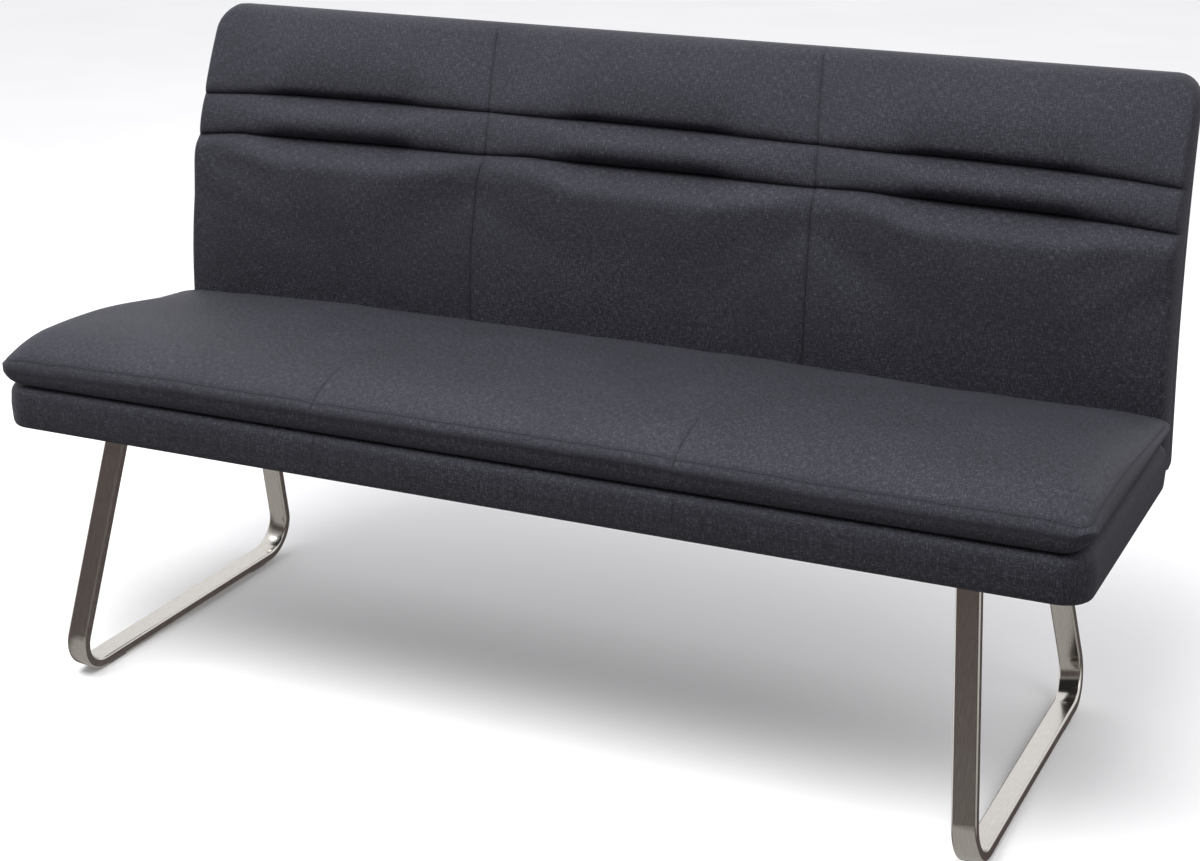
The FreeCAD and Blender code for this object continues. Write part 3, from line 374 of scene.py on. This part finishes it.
weave = weaveMaterial("weave", weaveValues)
plain = {name: plainMaterial(name, **values) for name, values in plainValues.items()}

# Finish of each frame node by the start of its name. The rest is timber, or replaced below.
finishes = {"leg_frame": "stainless", "leg_plate": "plate_steel", "leg_bolts": "zinc_steel",
            "leg_washers": "zinc_steel", "leg_inserts": "zinc_steel", "back_bolts": "zinc_steel",
            "back_washers": "zinc_steel", "back_inserts": "zinc_steel", "floor_glides": "glide_plastic",
            "back_board": "plywood", "seat_webbing": "strap_cloth", "dust_cover": "dust_cloth",
            "seat_base_foam": "foam"}
for name, node in nodes.items():
    chosen = [finish for start, finish in finishes.items() if name.startswith(start)]
    node.data.materials.clear()
    node.data.materials.append(plain[chosen[0] if chosen else "timber"])

tubeValues = {"join": 0.00002, "edge": 0.0008, "segments": 3, "sharp": 25}
for side in ("left", "right"):
    tube = nodes["leg_frame_" + side]
    joined = tube.modifiers.new("joined_faces", "WELD")
    joined.merge_threshold = tubeValues["join"]
    soften = tube.modifiers.new("soft_edges", "BEVEL")
    soften.width = tubeValues["edge"]
    soften.segments = tubeValues["segments"]
    soften.limit_method = "ANGLE"
    soften.angle_limit = math.radians(tubeValues["sharp"])
    soften.harden_normals = True
print("frame materials done")


# Outlines of the seat, rectangles with rounded corners

baseLow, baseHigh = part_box("seat_base_cover")
frontY = baseLow.y
rearY = baseHigh.y
halfLength = baseHigh.x
baseTop = baseHigh.z


def outlineAt(outline, x):
    # Near and far line of an outline, which round off at its ends.
    endGap = outline["half"] - np.abs(x)
    nearRadius, farRadius = outline["nearRadius"], outline["farRadius"]
    near = outline["near"] + nearRadius * (1.0 - roundRise(endGap / nearRadius))
    far = outline["far"] - farRadius * (1.0 - roundRise(endGap / farRadius))
    return near, far


def edgeInside(outline, x, y):
    # Distance in from an outline.
    endGap = outline["half"] - np.abs(x)
    nearGap = y - outline["near"]
    farGap = outline["far"] - y
    inside = np.minimum(endGap, np.minimum(nearGap, farGap))
    for gap, radius in ((nearGap, outline["nearRadius"]), (farGap, outline["farRadius"])):
        depth = radius - gap
        reach = radius - endGap
        inside = np.where((depth > 0) & (reach > 0), radius - np.hypot(depth, reach), inside)
    return np.maximum(inside, 0.0)


def planGrid(outline, seam, fine, step):
    # Columns run from the near to the far line, and are close together at the two cross seams.
    half, near, far = outline["half"], outline["near"], outline["far"]
    across = graded([-half, -seam, seam, half], fine, step)
    along = graded([near, far], fine, step)
    share = (along - near) / (far - near)
    nearLine, farLine = outlineAt(outline, across)
    x = np.repeat(across[None, :], len(along), 0)
    y = nearLine[None, :] + share[:, None] * (farLine - nearLine)[None, :]
    return x, y, across, along


# Seat base

baseValues = {
    "corner": 0.042, "topRound": 0.018, "lowRound": 0.006, "wall": 0.0012, "waist": 0.45,
    "sag": 0.0025, "sagStart": 0.004, "sagEnd": 0.045, "sagFade": 0.02, "dustEdge": 0.004, "dustLift": 0.0006,
    "seam": 0.267, "seamDeep": 0.0012, "seamWide": 0.0015, "seamReach": 0.01,
    "paintedShadeWide": 0.0012, "paintedShadeShare": 0.6, "step": 0.008,
    "rows": [0, 0.0003, 0.0006, 0.0009, 0.0012, 0.0022, 0.004, 0.0065, 0.010, 0.015, 0.0215]}


def buildBase(values):
    outline = {"half": halfLength, "near": frontY, "far": rearY,
               "nearRadius": values["corner"], "farRadius": values["corner"]}
    x, y = planGrid(outline, values["seam"], values["rows"], values["step"])[:2]
    inside = edgeInside(outline, x, y)
    wall, topRound, lowRound = values["wall"], values["topRound"], values["lowRound"]
    waist = baseLow.z + values["waist"] * (baseTop - baseLow.z)
    up = np.clip(inside / wall, 0, 1)
    top = waist + (baseTop - topRound - waist) * up + topRound * roundRise((inside - wall) / topRound)
    low = waist - (waist - baseLow.z - lowRound) * up - lowRound * roundRise((inside - wall) / lowRound)
    hang = smooth(inside / values["sagStart"]) * smooth((values["sagEnd"] - inside) / values["sagFade"])
    low = low - values["sag"] * hang
    # Inside the turned-in edge the skin stays above the dust cover.
    dustLow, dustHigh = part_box("dust_cover")
    covered = smooth((inside - (dustLow.y - frontY) - values["dustEdge"]) / values["dustEdge"])
    low = low + (dustHigh.z + values["dustLift"] - baseLow.z) * covered
    seamGap = np.abs(np.abs(x) - values["seam"])
    inward = np.where(y < (frontY + rearY) / 2, 1.0, -1.0)
    seamPush = values["seamDeep"] * groove(seamGap, values["seamWide"]) * groove(inside, values["seamReach"])
    # Painted shade along the two seam grooves of the base.
    paintedShade = values["paintedShadeShare"] * groove(seamGap, values["paintedShadeWide"])
    return closedPad("seat_base", (x, y + inward * seamPush, top), (x, y, low), paintedShade)


base = buildBase(baseValues)
base.data.materials.append(weave)
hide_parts("seat_base_cover")
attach(base, "root")
print("seat base done")


# Seat cushion

cushionValues = {
    "corner": 0.026, "rearCorner": 0.042, "proud": 0.001, "rearGap": 0.0006, "low": 0.0003,
    "crown": 0.071, "rear": 0.030, "seamHeight": 0.026, "tuck": 0.011, "endTuck": 0.042,
    "frontRise": 0.085, "frontPower": 1.1, "rearRise": 0.380,
    "endRise": 0.060, "endRiseMore": 0.06, "endRiseFrom": -0.12, "endRiseOver": 0.25,
    # Sewn edge, its height along the front
    "seamX": [-0.80, -0.71, -0.52, -0.27, -0.04, 0.22, 0.33, 0.485, 0.80],
    "seamZ": [0.4575, 0.4585, 0.4668, 0.4667, 0.4682, 0.4684, 0.4650, 0.4610, 0.4617],
    "seamWave": 0.0006, "seamWaveScale": 37.0,
    # Cross seams, which fade away from the front
    "cross": 0.267, "crossDip": 0.0018, "crossWide": 0.0020, "crossEdge": 0.002,
    "crossHollow": 0.0015, "hollowWide": 0.030, "hollowEdge": 0.02,
    "crossLeast": 0.15, "crossFrom": 0.03, "crossOver": 0.10,
    # Uneven filling, and ripples along the front edge
    "uneven": 0.0006, "unevenX": 8.0, "unevenY": 17.0, "unevenEdge": 0.08,
    "ripple": 0.0007, "rippleScale": 70.0, "rippleReach": 0.016, "rippleEdge": 0.006,
    "hem": 0.0075, "hemDeep": 0.0014, "hemWide": 0.0011, "hemStop": 0.02, "hemFade": 1.0,
    "hemShade": 0.0014, "edgeShade": 0.0010, "crossShade": 0.0012,
    "step": 0.007, "simStep": 0.016, "simRows": [0, 0.012], "simHeld": 0.004, "simEdge": 0.03,
    "pressure": 0.05, "growth": 0.0001, "cap": 0.005}
cushionOutline = {"half": halfLength + cushionValues["proud"], "near": frontY - cushionValues["proud"],
                  "far": rearY - cushionValues["rearGap"],
                  "nearRadius": cushionValues["corner"], "farRadius": cushionValues["rearCorner"]}


def cushionShape(values, fine, step):
    outline = cushionOutline
    x, y, across, along = planGrid(outline, values["cross"], fine, step)
    inside = edgeInside(outline, x, y)
    endGap = outline["half"] - np.abs(x)
    frontRise = roundRise((y - outline["near"]) / values["frontRise"]) ** values["frontPower"]
    endMore = values["endRiseMore"] * smooth((y - values["endRiseFrom"]) / values["endRiseOver"])
    endRise = roundRise(endGap / (values["endRise"] + endMore))
    rearFall = 1.0 - bow((outline["far"] - y) / values["rearRise"])
    rearShare = (values["crown"] - values["rear"]) / (values["crown"] - values["seamHeight"])
    seam = np.interp(x, values["seamX"], values["seamZ"])
    seam = seam + values["seamWave"] * waves(x, values["seamWaveScale"], seed=5)
    crown = baseTop + values["crown"]
    top = seam + (crown - seam) * frontRise * endRise * (1.0 - rearFall * rearShare)
    under = roundRise(inside / values["tuck"]) * bow(endGap / values["endTuck"])
    low = seam - (seam - baseTop - values["low"]) * under
    return {"x": x, "y": y, "top": top, "low": low, "inside": inside, "across": across, "along": along}


def simulateCushion(values, shape):
    coarse = cushionShape(values, values["simRows"], values["simStep"])
    x, y = coarse["x"], coarse["y"]
    held = (coarse["inside"] < values["simHeld"]).astype(float)
    moved = inflate((x, y, coarse["top"]), (x, y, coarse["low"]), held, values)
    keep = smooth(shape["inside"] / values["simEdge"])
    for axis, move in zip(("x", "y", "top"), spread(moved, coarse, shape)):
        shape[axis] = shape[axis] + move * keep


def buildCushion(values):
    shape = cushionShape(values, fineRows, values["step"])
    simulateCushion(values, shape)
    x, y, top, inside = shape["x"], shape["y"], shape["top"], shape["inside"]
    crossGap = np.abs(np.abs(shape["across"]) - values["cross"])[None, :]
    fromFront = y - frontY
    fade = smooth(1.0 - (fromFront - values["crossFrom"]) / values["crossOver"])
    strength = values["crossLeast"] + (1.0 - values["crossLeast"]) * fade
    dip = values["crossDip"] * groove(crossGap, values["crossWide"]) * smooth(inside / values["crossEdge"])
    hollow = values["crossHollow"] * groove(crossGap, values["hollowWide"])
    hollow = hollow * smooth(inside / values["hollowEdge"])
    top = top - strength * (dip + hollow)
    uneven = waves(x, values["unevenX"], seed=8) + waves(y, values["unevenY"], seed=3)
    top = top + values["uneven"] * uneven * smooth(inside / values["unevenEdge"])
    ripple = waves(x, values["rippleScale"], seed=11) * groove(fromFront, values["rippleReach"])
    top = top + values["ripple"] * ripple * smooth(inside / values["rippleEdge"])
    hemFade = smooth((rearY - values["hemStop"] - y) / values["hemFade"])
    top = top - values["hemDeep"] * ridge(inside - values["hem"], values["hemWide"]) * hemFade
    # Painted shade along the hem groove, at the rim where the cushion meets the base, and in the cross seams.
    paintedShade = ridge(inside - values["hem"], values["hemShade"]) + groove(inside, values["edgeShade"])
    paintedShade = np.maximum(paintedShade, strength * groove(crossGap, values["crossShade"]))
    pad = closedPad("seat_cushion_pad", (x, y, top), (x, y, shape["low"]), np.clip(paintedShade, 0, 1))
    return pad, (x, y, top), shape


cushion, cushionGrid, cushionPlaces = buildCushion(cushionValues)
cushion.data.materials.append(weave)
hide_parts("seat_cushion")
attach(cushion, "root")


# Topstitch of the cushion

hemValues = {"rearStop": 0.045, "frontPoints": 140, "cornerPoints": 9, "endPoints": 80,
             "frontGap": 0.004, "endGap": 0.005, "lift": 0.0006}
stitchValues = {"Spacing": 0.0058, "Length": 0.0042, "Radius": 0.00045}


def onGrid(grid, row, col):
    # Points between a grid's own points.
    rows, cols = grid[0].shape
    i = np.minimum(row.astype(int), rows - 2)
    j = np.minimum(col.astype(int), cols - 2)
    v = row - i
    u = col - j
    return np.stack([(1 - v) * ((1 - u) * axis[i, j] + u * axis[i, j + 1])
                     + v * ((1 - u) * axis[i + 1, j] + u * axis[i + 1, j + 1]) for axis in grid], 1)


def hemPath(values, outline, hem, grid, places):
    # Along the front and round both ends, at the hem's distance from the edge.
    half = outline["half"] - hem
    near = outline["near"] + hem
    radius = outline["nearRadius"] - hem
    turn = np.linspace(0, math.pi / 2, values["cornerPoints"])
    frontX = np.linspace(0, half - radius - values["frontGap"], values["frontPoints"])
    endY = np.linspace(near + radius + values["endGap"], rearY - values["rearStop"], values["endPoints"])
    x = np.concatenate([frontX, half - radius + radius * np.sin(turn), np.full(len(endY), half)])
    y = np.concatenate([np.full(len(frontX), near), near + radius - radius * np.cos(turn), endY])
    x = np.concatenate([-x[:0:-1], x])
    y = np.concatenate([y[:0:-1], y])
    nearLine, farLine = outlineAt(outline, x)
    across, along = places["across"], places["along"]
    share = (along - along[0]) / (along[-1] - along[0])
    row = np.interp((y - nearLine) / (farLine - nearLine), share, np.arange(len(along)))
    col = np.interp(x, across, np.arange(len(across)))
    return onGrid(grid, row, col) + np.array([0, 0, values["lift"]])


def stitchTree():
    tree = bpy.data.node_groups.new("stitches", "GeometryNodeTree")
    inputs = {"Path": "Geometry", "Spacing": "Float", "Length": "Float", "Radius": "Float",
              "Thread": "Material"}
    sockets = {}
    for title, kind in inputs.items():
        socket = tree.interface.new_socket(title, in_out="INPUT", socket_type="NodeSocket" + kind)
        sockets[title] = socket.identifier
    tree.interface.new_socket("Stitches", in_out="OUTPUT", socket_type="NodeSocketGeometry")
    given = tree.nodes.new("NodeGroupInput").outputs
    result = tree.nodes.new("NodeGroupOutput")
    curve = tree.nodes.new("GeometryNodeMeshToCurve")
    spaced = addNode(tree, "GeometryNodeResampleCurve", mode="LENGTH")
    tangent = tree.nodes.new("GeometryNodeInputTangent")
    turned = addNode(tree, "FunctionNodeAlignRotationToVector", axis="Z")
    ball = addNode(tree, "GeometryNodeMeshUVSphere", Segments=6, Rings=4, Radius=1.0)
    size = tree.nodes.new("ShaderNodeCombineXYZ")
    place = tree.nodes.new("GeometryNodeInstanceOnPoints")
    real = tree.nodes.new("GeometryNodeRealizeInstances")
    paint = tree.nodes.new("GeometryNodeSetMaterial")
    links = [(given["Path"], curve.inputs["Mesh"]),
             (curve.outputs["Curve"], spaced.inputs["Curve"]),
             (given["Spacing"], spaced.inputs["Length"]),
             (tangent.outputs[0], turned.inputs["Vector"]),
             (given["Radius"], size.inputs["X"]),
             (given["Radius"], size.inputs["Y"]),
             (math2(tree, "MULTIPLY", given["Length"], 0.5), size.inputs["Z"]),
             (spaced.outputs["Curve"], place.inputs["Points"]),
             (ball.outputs["Mesh"], place.inputs["Instance"]),
             (turned.outputs["Rotation"], place.inputs["Rotation"]),
             (size.outputs[0], place.inputs["Scale"]),
             (place.outputs["Instances"], real.inputs["Geometry"]),
             (real.outputs["Geometry"], paint.inputs["Geometry"]),
             (given["Thread"], paint.inputs["Material"]),
             (paint.outputs["Geometry"], result.inputs[0])]
    for source, target in links:
        tree.links.new(source, target)
    return tree, sockets


def sewStitches(name, path, values, thread):
    mesh = bpy.data.meshes.new(name)
    mesh.from_pydata([tuple(p) for p in path], [(i, i + 1) for i in range(len(path) - 1)], [])
    obj = bpy.data.objects.new(name, mesh)
    scene.collection.objects.link(obj)
    tree, sockets = stitchTree()
    modifier = obj.modifiers.new("stitches", "NODES")
    modifier.node_group = tree
    for title, value in values.items():
        modifier[sockets[title]] = value
    modifier[sockets["Thread"]] = thread
    sewn = bpy.data.meshes.new_from_object(obj.evaluated_get(bpy.context.evaluated_depsgraph_get()))
    obj.modifiers.remove(modifier)
    obj.data = sewn
    sewn.polygons.foreach_set("use_smooth", [True] * len(sewn.polygons))
    return obj


hemLine = hemPath(hemValues, cushionOutline, cushionValues["hem"], cushionGrid, cushionPlaces)
hemStitches = sewStitches("cushion_stitches", hemLine, stitchValues, plain["thread"])
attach(hemStitches, "root")
print("seat cushion done, %d stitch faces" % len(hemStitches.data.polygons))


# Back

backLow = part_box("back_rear_cover")[0].z
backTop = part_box("back_rear_cover")[1].z
backValues = {
    "half": 0.794, "topHalf": 0.780, "shift": -0.0038, "corner": 0.038, "edgeRound": 0.011, "lowRound": 0.012,
    # Side profile: upright below the bend, then leaning back on three arcs
    "bend": 0.483, "frontRadius": 0.837, "boardRadius": 0.992, "rearRadius": 1.150,
    "front": rearY + 0.0003, "parting": rearY + 0.0363, "rear": rearY + 0.0749,
    # Sewn lines, even in the grid and wandering on the bench
    "columnSeam": 0.262, "lowSeam": 0.719, "highSeam": 0.783,
    "acrossAt": [-0.794, -0.70, -0.262, 0.262, 0.70, 0.794],
    "lowAt": [0.708, 0.7135, 0.7206, 0.7216, 0.7145, 0.709],
    "highAt": [0.772, 0.7775, 0.7826, 0.7795, 0.772, 0.7665],
    "upAt": [0.379, 0.60, 0.68, 0.7208, 0.781, 0.906],
    "leftAt": [-0.277, -0.277, -0.274, -0.2655, -0.2695, -0.281],
    "rightAt": [0.2665, 0.264, 0.262, 0.2636, 0.258, 0.243],
    # Depth of the tucks along a column, whose width runs from 0 to 1
    "tuck": 0.022, "tuckEnd": 0.002, "deepFrom": 0.05, "deepIn": 0.33, "deepOut": 0.32,
    "foldFrom": 0.21, "foldTo": 0.79, "foldEnds": 0.11, "foldShare": 0.6,
    # Swelling between the sewn lines
    "panelSwell": 0.018, "bandSwell": 0.006, "headSwell": 0.006, "panelRise": 0.022, "panelRiseMore": 0.022,
    "bandPower": 0.8, "headRise": 0.024, "headRiseMore": 0.048, "headRound": 0.016,
    "endSwell": 0.5, "seamSwell": 0.45, "seamSwellReach": 0.06,
    "lip": 0.690, "lipWave": 0.005, "lipWaveScale": 14.0, "panelFoot": 0.450,
    "lowRise": 0.004, "lowRiseReach": 0.020, "lowRiseAt": 0.14, "lowRiseWide": 0.11,
    # Grooves and puckers of the sewn lines, and the painted shade in them
    "seamDeep": 0.0026, "seamWide": 0.0035, "tuckLine": 0.0040, "tuckWide": 0.0030, "fullEdge": 0.02,
    "pucker": 0.0003, "puckerScale": 118.0, "puckerLeast": 0.25, "puckerAt": (0.20, 0.76), "puckerWide": 0.07,
    "puckerReach": 0.016, "puckerClear": 0.003, "seamShade": 0.0014, "tuckShade": 0.0016, "shadeEdge": 0.004,
    # Rear side
    "rearGap": 0.0003, "rearWall": 0.0015, "rearRound": 0.010,
    "rearSeam": 0.0165, "rearSeamWide": 0.0014, "rearSeamDeep": 0.0012,
    "step": 0.008, "simStep": 0.016, "simRows": [0, 0.010], "simEdge": 0.004, "simSeam": 0.002,
    "simFoot": 0.46, "simKeep": 0.010, "pressure": 0.12, "growth": 0.0002, "cap": 0.005}


def leanBack(base, radius, z):
    rise = np.maximum(z - backValues["bend"], 0.0)
    return base + radius - np.sqrt(radius * radius - rise * rise)


def between(flat, stops, lines):
    # Carries even grid places over to lines that wander.
    result = np.zeros_like(flat)
    for a, b, before, after in zip(stops[:-1], stops[1:], lines[:-1], lines[1:]):
        share = (flat - a) / (b - a)
        result = np.where((share >= 0) & (share <= 1), before + share * (after - before), result)
    return result


def backGrid(values, seamed, fine, step):
    # The grid's lines follow the back's tapering outline and, where it is seamed, its sewn lines.
    seams = [-values["columnSeam"], values["columnSeam"]] if seamed else []
    tucks = [values["lowSeam"], values["highSeam"]] if seamed else []
    stopsX = [-values["half"], *seams, values["half"]]
    stopsZ = [backLow, *tucks, backTop]
    across = graded(stopsX, fine, step)
    along = graded(stopsZ, fine, step)
    flatX, flatZ = np.meshgrid(across, along)
    corner = values["corner"]
    top = backTop - corner * (1.0 - roundRise((values["half"] - np.abs(flatX)) / corner))
    heights = [np.full_like(top, backLow), top]
    if seamed:
        heights[1:1] = [np.interp(flatX, values["acrossAt"], values[line]) for line in ("lowAt", "highAt")]
    z = between(flatZ, stopsZ, heights)
    narrowing = 1.0 - values["topHalf"] / values["half"]
    half = values["half"] * (1.0 - narrowing * (z - backLow) / (backTop - backLow))
    sides = [values["shift"] - half, values["shift"] + half]
    if seamed:
        sides[1:1] = [np.interp(z, values["upAt"], values[line]) for line in ("leftAt", "rightAt")]
    x = between(flatX, stopsX, sides)
    sideGap = half - np.abs(x - values["shift"])
    topGap = backTop - z
    depth = corner - topGap
    reach = corner - sideGap
    inside = np.minimum(sideGap, topGap)
    inside = np.where((depth > 0) & (reach > 0), corner - np.hypot(depth, reach), inside)
    return {"x": x, "z": z, "inside": np.maximum(inside, 0.0), "flatX": flatX, "flatZ": flatZ,
            "across": across, "along": along}


def columnShare(values, flatX):
    # Place across each of the three columns, from 0 to 1.
    seam, half = values["columnSeam"], values["half"]
    left = np.where(flatX < -seam, -half, np.where(flatX < seam, -seam, seam))
    right = np.where(flatX < -seam, -seam, np.where(flatX < seam, seam, half))
    return (flatX - left) / (right - left)


def backShape(values, fine, step):
    shape = backGrid(values, True, fine, step)
    flatX, flatZ, z = shape["flatX"], shape["flatZ"], shape["z"]
    share = columnShare(values, flatX)
    seamGap = np.abs(np.abs(flatX) - values["columnSeam"])
    deep = smooth((share - values["deepFrom"]) / values["deepIn"]) * smooth((1.0 - share) / values["deepOut"])
    fold = smooth((share - values["foldFrom"]) / values["foldEnds"])
    fold = fold * smooth((values["foldTo"] - share) / values["foldEnds"])
    drawn = (1.0 - values["foldShare"]) * deep + values["foldShare"] * fold
    draw = values["tuckEnd"] + (values["tuck"] - values["tuckEnd"]) * drawn
    # Rise of the panel below, the band between and the head above the two tucks
    toLow = flatZ - values["lowSeam"]
    toHigh = flatZ - values["highSeam"]
    panel = bow(-toLow / (values["panelRise"] + values["panelRiseMore"] * deep))
    bandShare = toLow / (values["highSeam"] - values["lowSeam"])
    band = np.clip(4.0 * bandShare * (1.0 - bandShare), 0.0, 1.0) ** values["bandPower"]
    headSlow = bow(toHigh / (values["headRise"] + values["headRiseMore"] * deep))
    head = (headSlow + bow(toHigh / values["headRound"])) / 2
    isPanel = toLow <= 0
    isBand = toHigh <= 0
    rise = np.where(isPanel, panel, np.where(isBand, band, head))
    bandOrHead = np.where(isBand, values["bandSwell"], values["headSwell"])
    swell = np.where(isPanel, values["panelSwell"], bandOrHead)
    endSwell = values["endSwell"] + (1.0 - values["endSwell"]) * deep
    seamSwell = values["seamSwell"] + (1.0 - values["seamSwell"]) * smooth(seamGap / values["seamSwellReach"])
    swell = swell * endSwell * seamSwell
    # Below its lip a panel runs straight down behind the cushion.
    lip = values["lip"] + values["lipWave"] * waves(flatX, values["lipWaveScale"], seed=4)
    lipLean = leanBack(0.0, values["frontRadius"], lip)
    chord = (lipLean - swell) * (flatZ - values["panelFoot"]) / (lip - values["panelFoot"])
    straight = np.clip(leanBack(0.0, values["frontRadius"], flatZ) - chord, 0.0, swell)
    swell = np.where(flatZ < lip, straight, swell)
    front = leanBack(values["front"], values["frontRadius"], z)
    y = front + draw - (draw + swell) * rise
    lift = ridge(toLow, values["lowRiseReach"]) * ridge(share - values["lowRiseAt"], values["lowRiseWide"])
    z = z + values["lowRise"] * lift
    part = leanBack(values["parting"], values["boardRadius"], z)
    edge = roundRise(shape["inside"] / values["edgeRound"])
    lowEdge = roundRise((flatZ - backLow) / values["lowRound"])
    y = part + (y - part) * edge * lowEdge
    tuckGap = np.minimum(np.abs(toLow), np.abs(toHigh))
    shape.update({"y": y, "z": z, "part": part, "share": share, "seamGap": seamGap, "tuckGap": tuckGap})
    return shape


def simulateBack(values, shape):
    coarse = backShape(values, values["simRows"], values["simStep"])
    x, y, z = coarse["x"], coarse["y"], coarse["z"]
    sewn = np.minimum(coarse["seamGap"], coarse["tuckGap"]) < values["simSeam"]
    held = sewn | (coarse["inside"] < values["simEdge"]) | (z < values["simFoot"])
    moved = inflate((x, y, z), (x, coarse["part"], z), held.astype(float), values)
    keep = smooth(np.minimum(shape["seamGap"], shape["tuckGap"]) / values["simKeep"])
    for axis, move in zip(("x", "y", "z"), spread(moved, coarse, shape)):
        shape[axis] = shape[axis] + move * keep


def buildBackFront(values):
    shape = backShape(values, fineRows, values["step"])
    simulateBack(values, shape)
    x, y, z, part, inside = shape["x"], shape["y"], shape["z"], shape["part"], shape["inside"]
    seamGap, tuckGap = shape["seamGap"], shape["tuckGap"]
    fullness = smooth(inside / values["fullEdge"])
    y = y + values["seamDeep"] * groove(seamGap, values["seamWide"]) * fullness
    y = y + values["tuckLine"] * groove(tuckGap, values["tuckWide"]) * fullness
    ends = sum(ridge(shape["share"] - at, values["puckerWide"]) for at in values["puckerAt"])
    pucker = waves(x, values["puckerScale"], seed=2) * (values["puckerLeast"] + ends)
    pucker = pucker * groove(tuckGap, values["puckerReach"]) * smooth(tuckGap / values["puckerClear"])
    y = y - values["pucker"] * pucker * fullness
    # Painted shade in the grooves of the column seams and tucks.
    paintedShade = np.maximum(groove(seamGap, values["seamShade"]), groove(tuckGap, values["tuckShade"]))
    paintedShade = paintedShade * smooth(inside / values["shadeEdge"])
    return closedPad("back_front_pad", (x, y, z), (x, part, z), paintedShade)


backFront = buildBackFront(backValues)
backFront.data.materials.append(weave)
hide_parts("back_pad_left", "back_pad_middle", "back_pad_right")
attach(backFront, "root")


def buildBackRear(values):
    shape = backGrid(values, False, fineRows, values["step"])
    x, z = shape["x"], shape["z"]
    part = leanBack(values["parting"] + values["rearGap"], values["boardRadius"], z)
    depth = leanBack(values["rear"], values["rearRadius"], z) - part
    wall, rearRound = values["rearWall"], values["rearRound"]
    edgeGap = np.minimum(shape["inside"], shape["flatZ"] - backLow)
    straight = np.maximum(depth - rearRound, 0.0) * np.clip(edgeGap / wall, 0, 1)
    y = part + straight + np.minimum(rearRound, depth) * roundRise((edgeGap - wall) / rearRound)
    # The rear seam is a shallow groove and, on the cloth, a line of painted shade.
    seam = ridge(edgeGap - values["rearSeam"], values["rearSeamWide"])
    y = y - values["rearSeamDeep"] * seam
    return closedPad("back_rear_pad", (x, part, z), (x, y, z), np.zeros_like(x), seam)


backRear = buildBackRear(backValues)
backRear.data.materials.append(weave)
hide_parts("back_rear_cover")
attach(backRear, "root")
print("back done")


# Floor, light and camera

floorHalf = 9.0
floorCorners = [(x * floorHalf, y * floorHalf, 0) for x, y in ((-1, -1), (1, -1), (1, 1), (-1, 1))]
floorMesh = meshObject("floor", floorCorners, [(0, 1, 2, 3)])
floorMesh.data.materials.append(plain["floor_paint"])
floorMesh.visible_diffuse = False  # the pale floor would light the dark cloth from below
floorMesh.visible_glossy = False

worldValues = {"strength": 1.08, "rearLift": 0.35, "sideFrom": 0.55, "sideLift": 2.5, "rightShare": 0.75,
               "sky": [(0.0, (0.42, 0.41, 0.40)), (0.24, (0.42, 0.41, 0.40)), (0.36, (0.100, 0.084, 0.082)),
                       (0.50, (0.094, 0.077, 0.077)), (0.62, (0.35, 0.34, 0.33)), (0.76, (0.92, 0.92, 0.95)),
                       (1.0, (1.0, 1.0, 1.02))]}


def studioWorld(values):
    # Bright ceiling, rear and sides, dark near the horizon in front, grey below.
    world = bpy.data.worlds.new("studio")
    scene.world = world
    world.use_nodes = True
    tree = world.node_tree
    split = addNode(tree, "ShaderNodeSeparateXYZ")
    tree.links.new(addNode(tree, "ShaderNodeTexCoord").outputs["Generated"], split.inputs[0])
    x, y, z = split.outputs
    across = math2(tree, "MAXIMUM", math2(tree, "MULTIPLY", x, -1.0),
                   math2(tree, "MULTIPLY", x, values["rightShare"]))
    sides = math2(tree, "MAXIMUM", math2(tree, "SUBTRACT", across, values["sideFrom"]), 0.0)
    lean = weighted(tree, (z, 1.0), (y, values["rearLift"]), (sides, values["sideLift"]))
    level = math2(tree, "ADD", math2(tree, "MULTIPLY", lean, 0.5), 0.5)
    background = tree.nodes["Background"]
    tree.links.new(ramp(tree, level, values["sky"]), background.inputs["Color"])
    background.inputs["Strength"].default_value = values["strength"]


studioWorld(worldValues)
scene.view_settings.view_transform = "Standard"

lightTarget = (0, 0, 0.4)
lightValues = {"key": {"place": (-0.5, -1.5, 3.6), "width": 3.4, "height": 2.0, "power": 165},
               "side": {"place": (2.8, -1.0, 2.6), "width": 1.6, "height": 1.6, "power": 15}}


def areaLight(name, place, width, height, power):
    light = bpy.data.lights.new(name, "AREA")
    light.shape = "RECTANGLE"
    light.size = width
    light.size_y = height
    light.energy = power
    obj = bpy.data.objects.new(name, light)
    scene.collection.objects.link(obj)
    obj.location = place
    aim = np.array(lightTarget) - np.array(place)
    flat = math.hypot(aim[0], aim[1])
    obj.rotation_euler = (math.atan2(flat, -aim[2]), 0.0, math.atan2(-aim[0], aim[1]))


for name, values in lightValues.items():
    areaLight(name, **values)

# Camera fitted to the photograph's edges
cameraValues = {"place": (1.2937, -2.7318, 1.4449), "down": 0.3366, "turn": 0.4345,
                "lens": 66.92, "sensor": 36.0}
cameraData = bpy.data.cameras.new("photo_view")
cameraData.lens = cameraValues["lens"]
cameraData.sensor_width = cameraValues["sensor"]
camera = bpy.data.objects.new("photo_view", cameraData)
camera.location = cameraValues["place"]
camera.rotation_euler = (math.pi / 2 - cameraValues["down"], 0.0, cameraValues["turn"])
scene.collection.objects.link(camera)
scene.camera = camera
print("stage done")
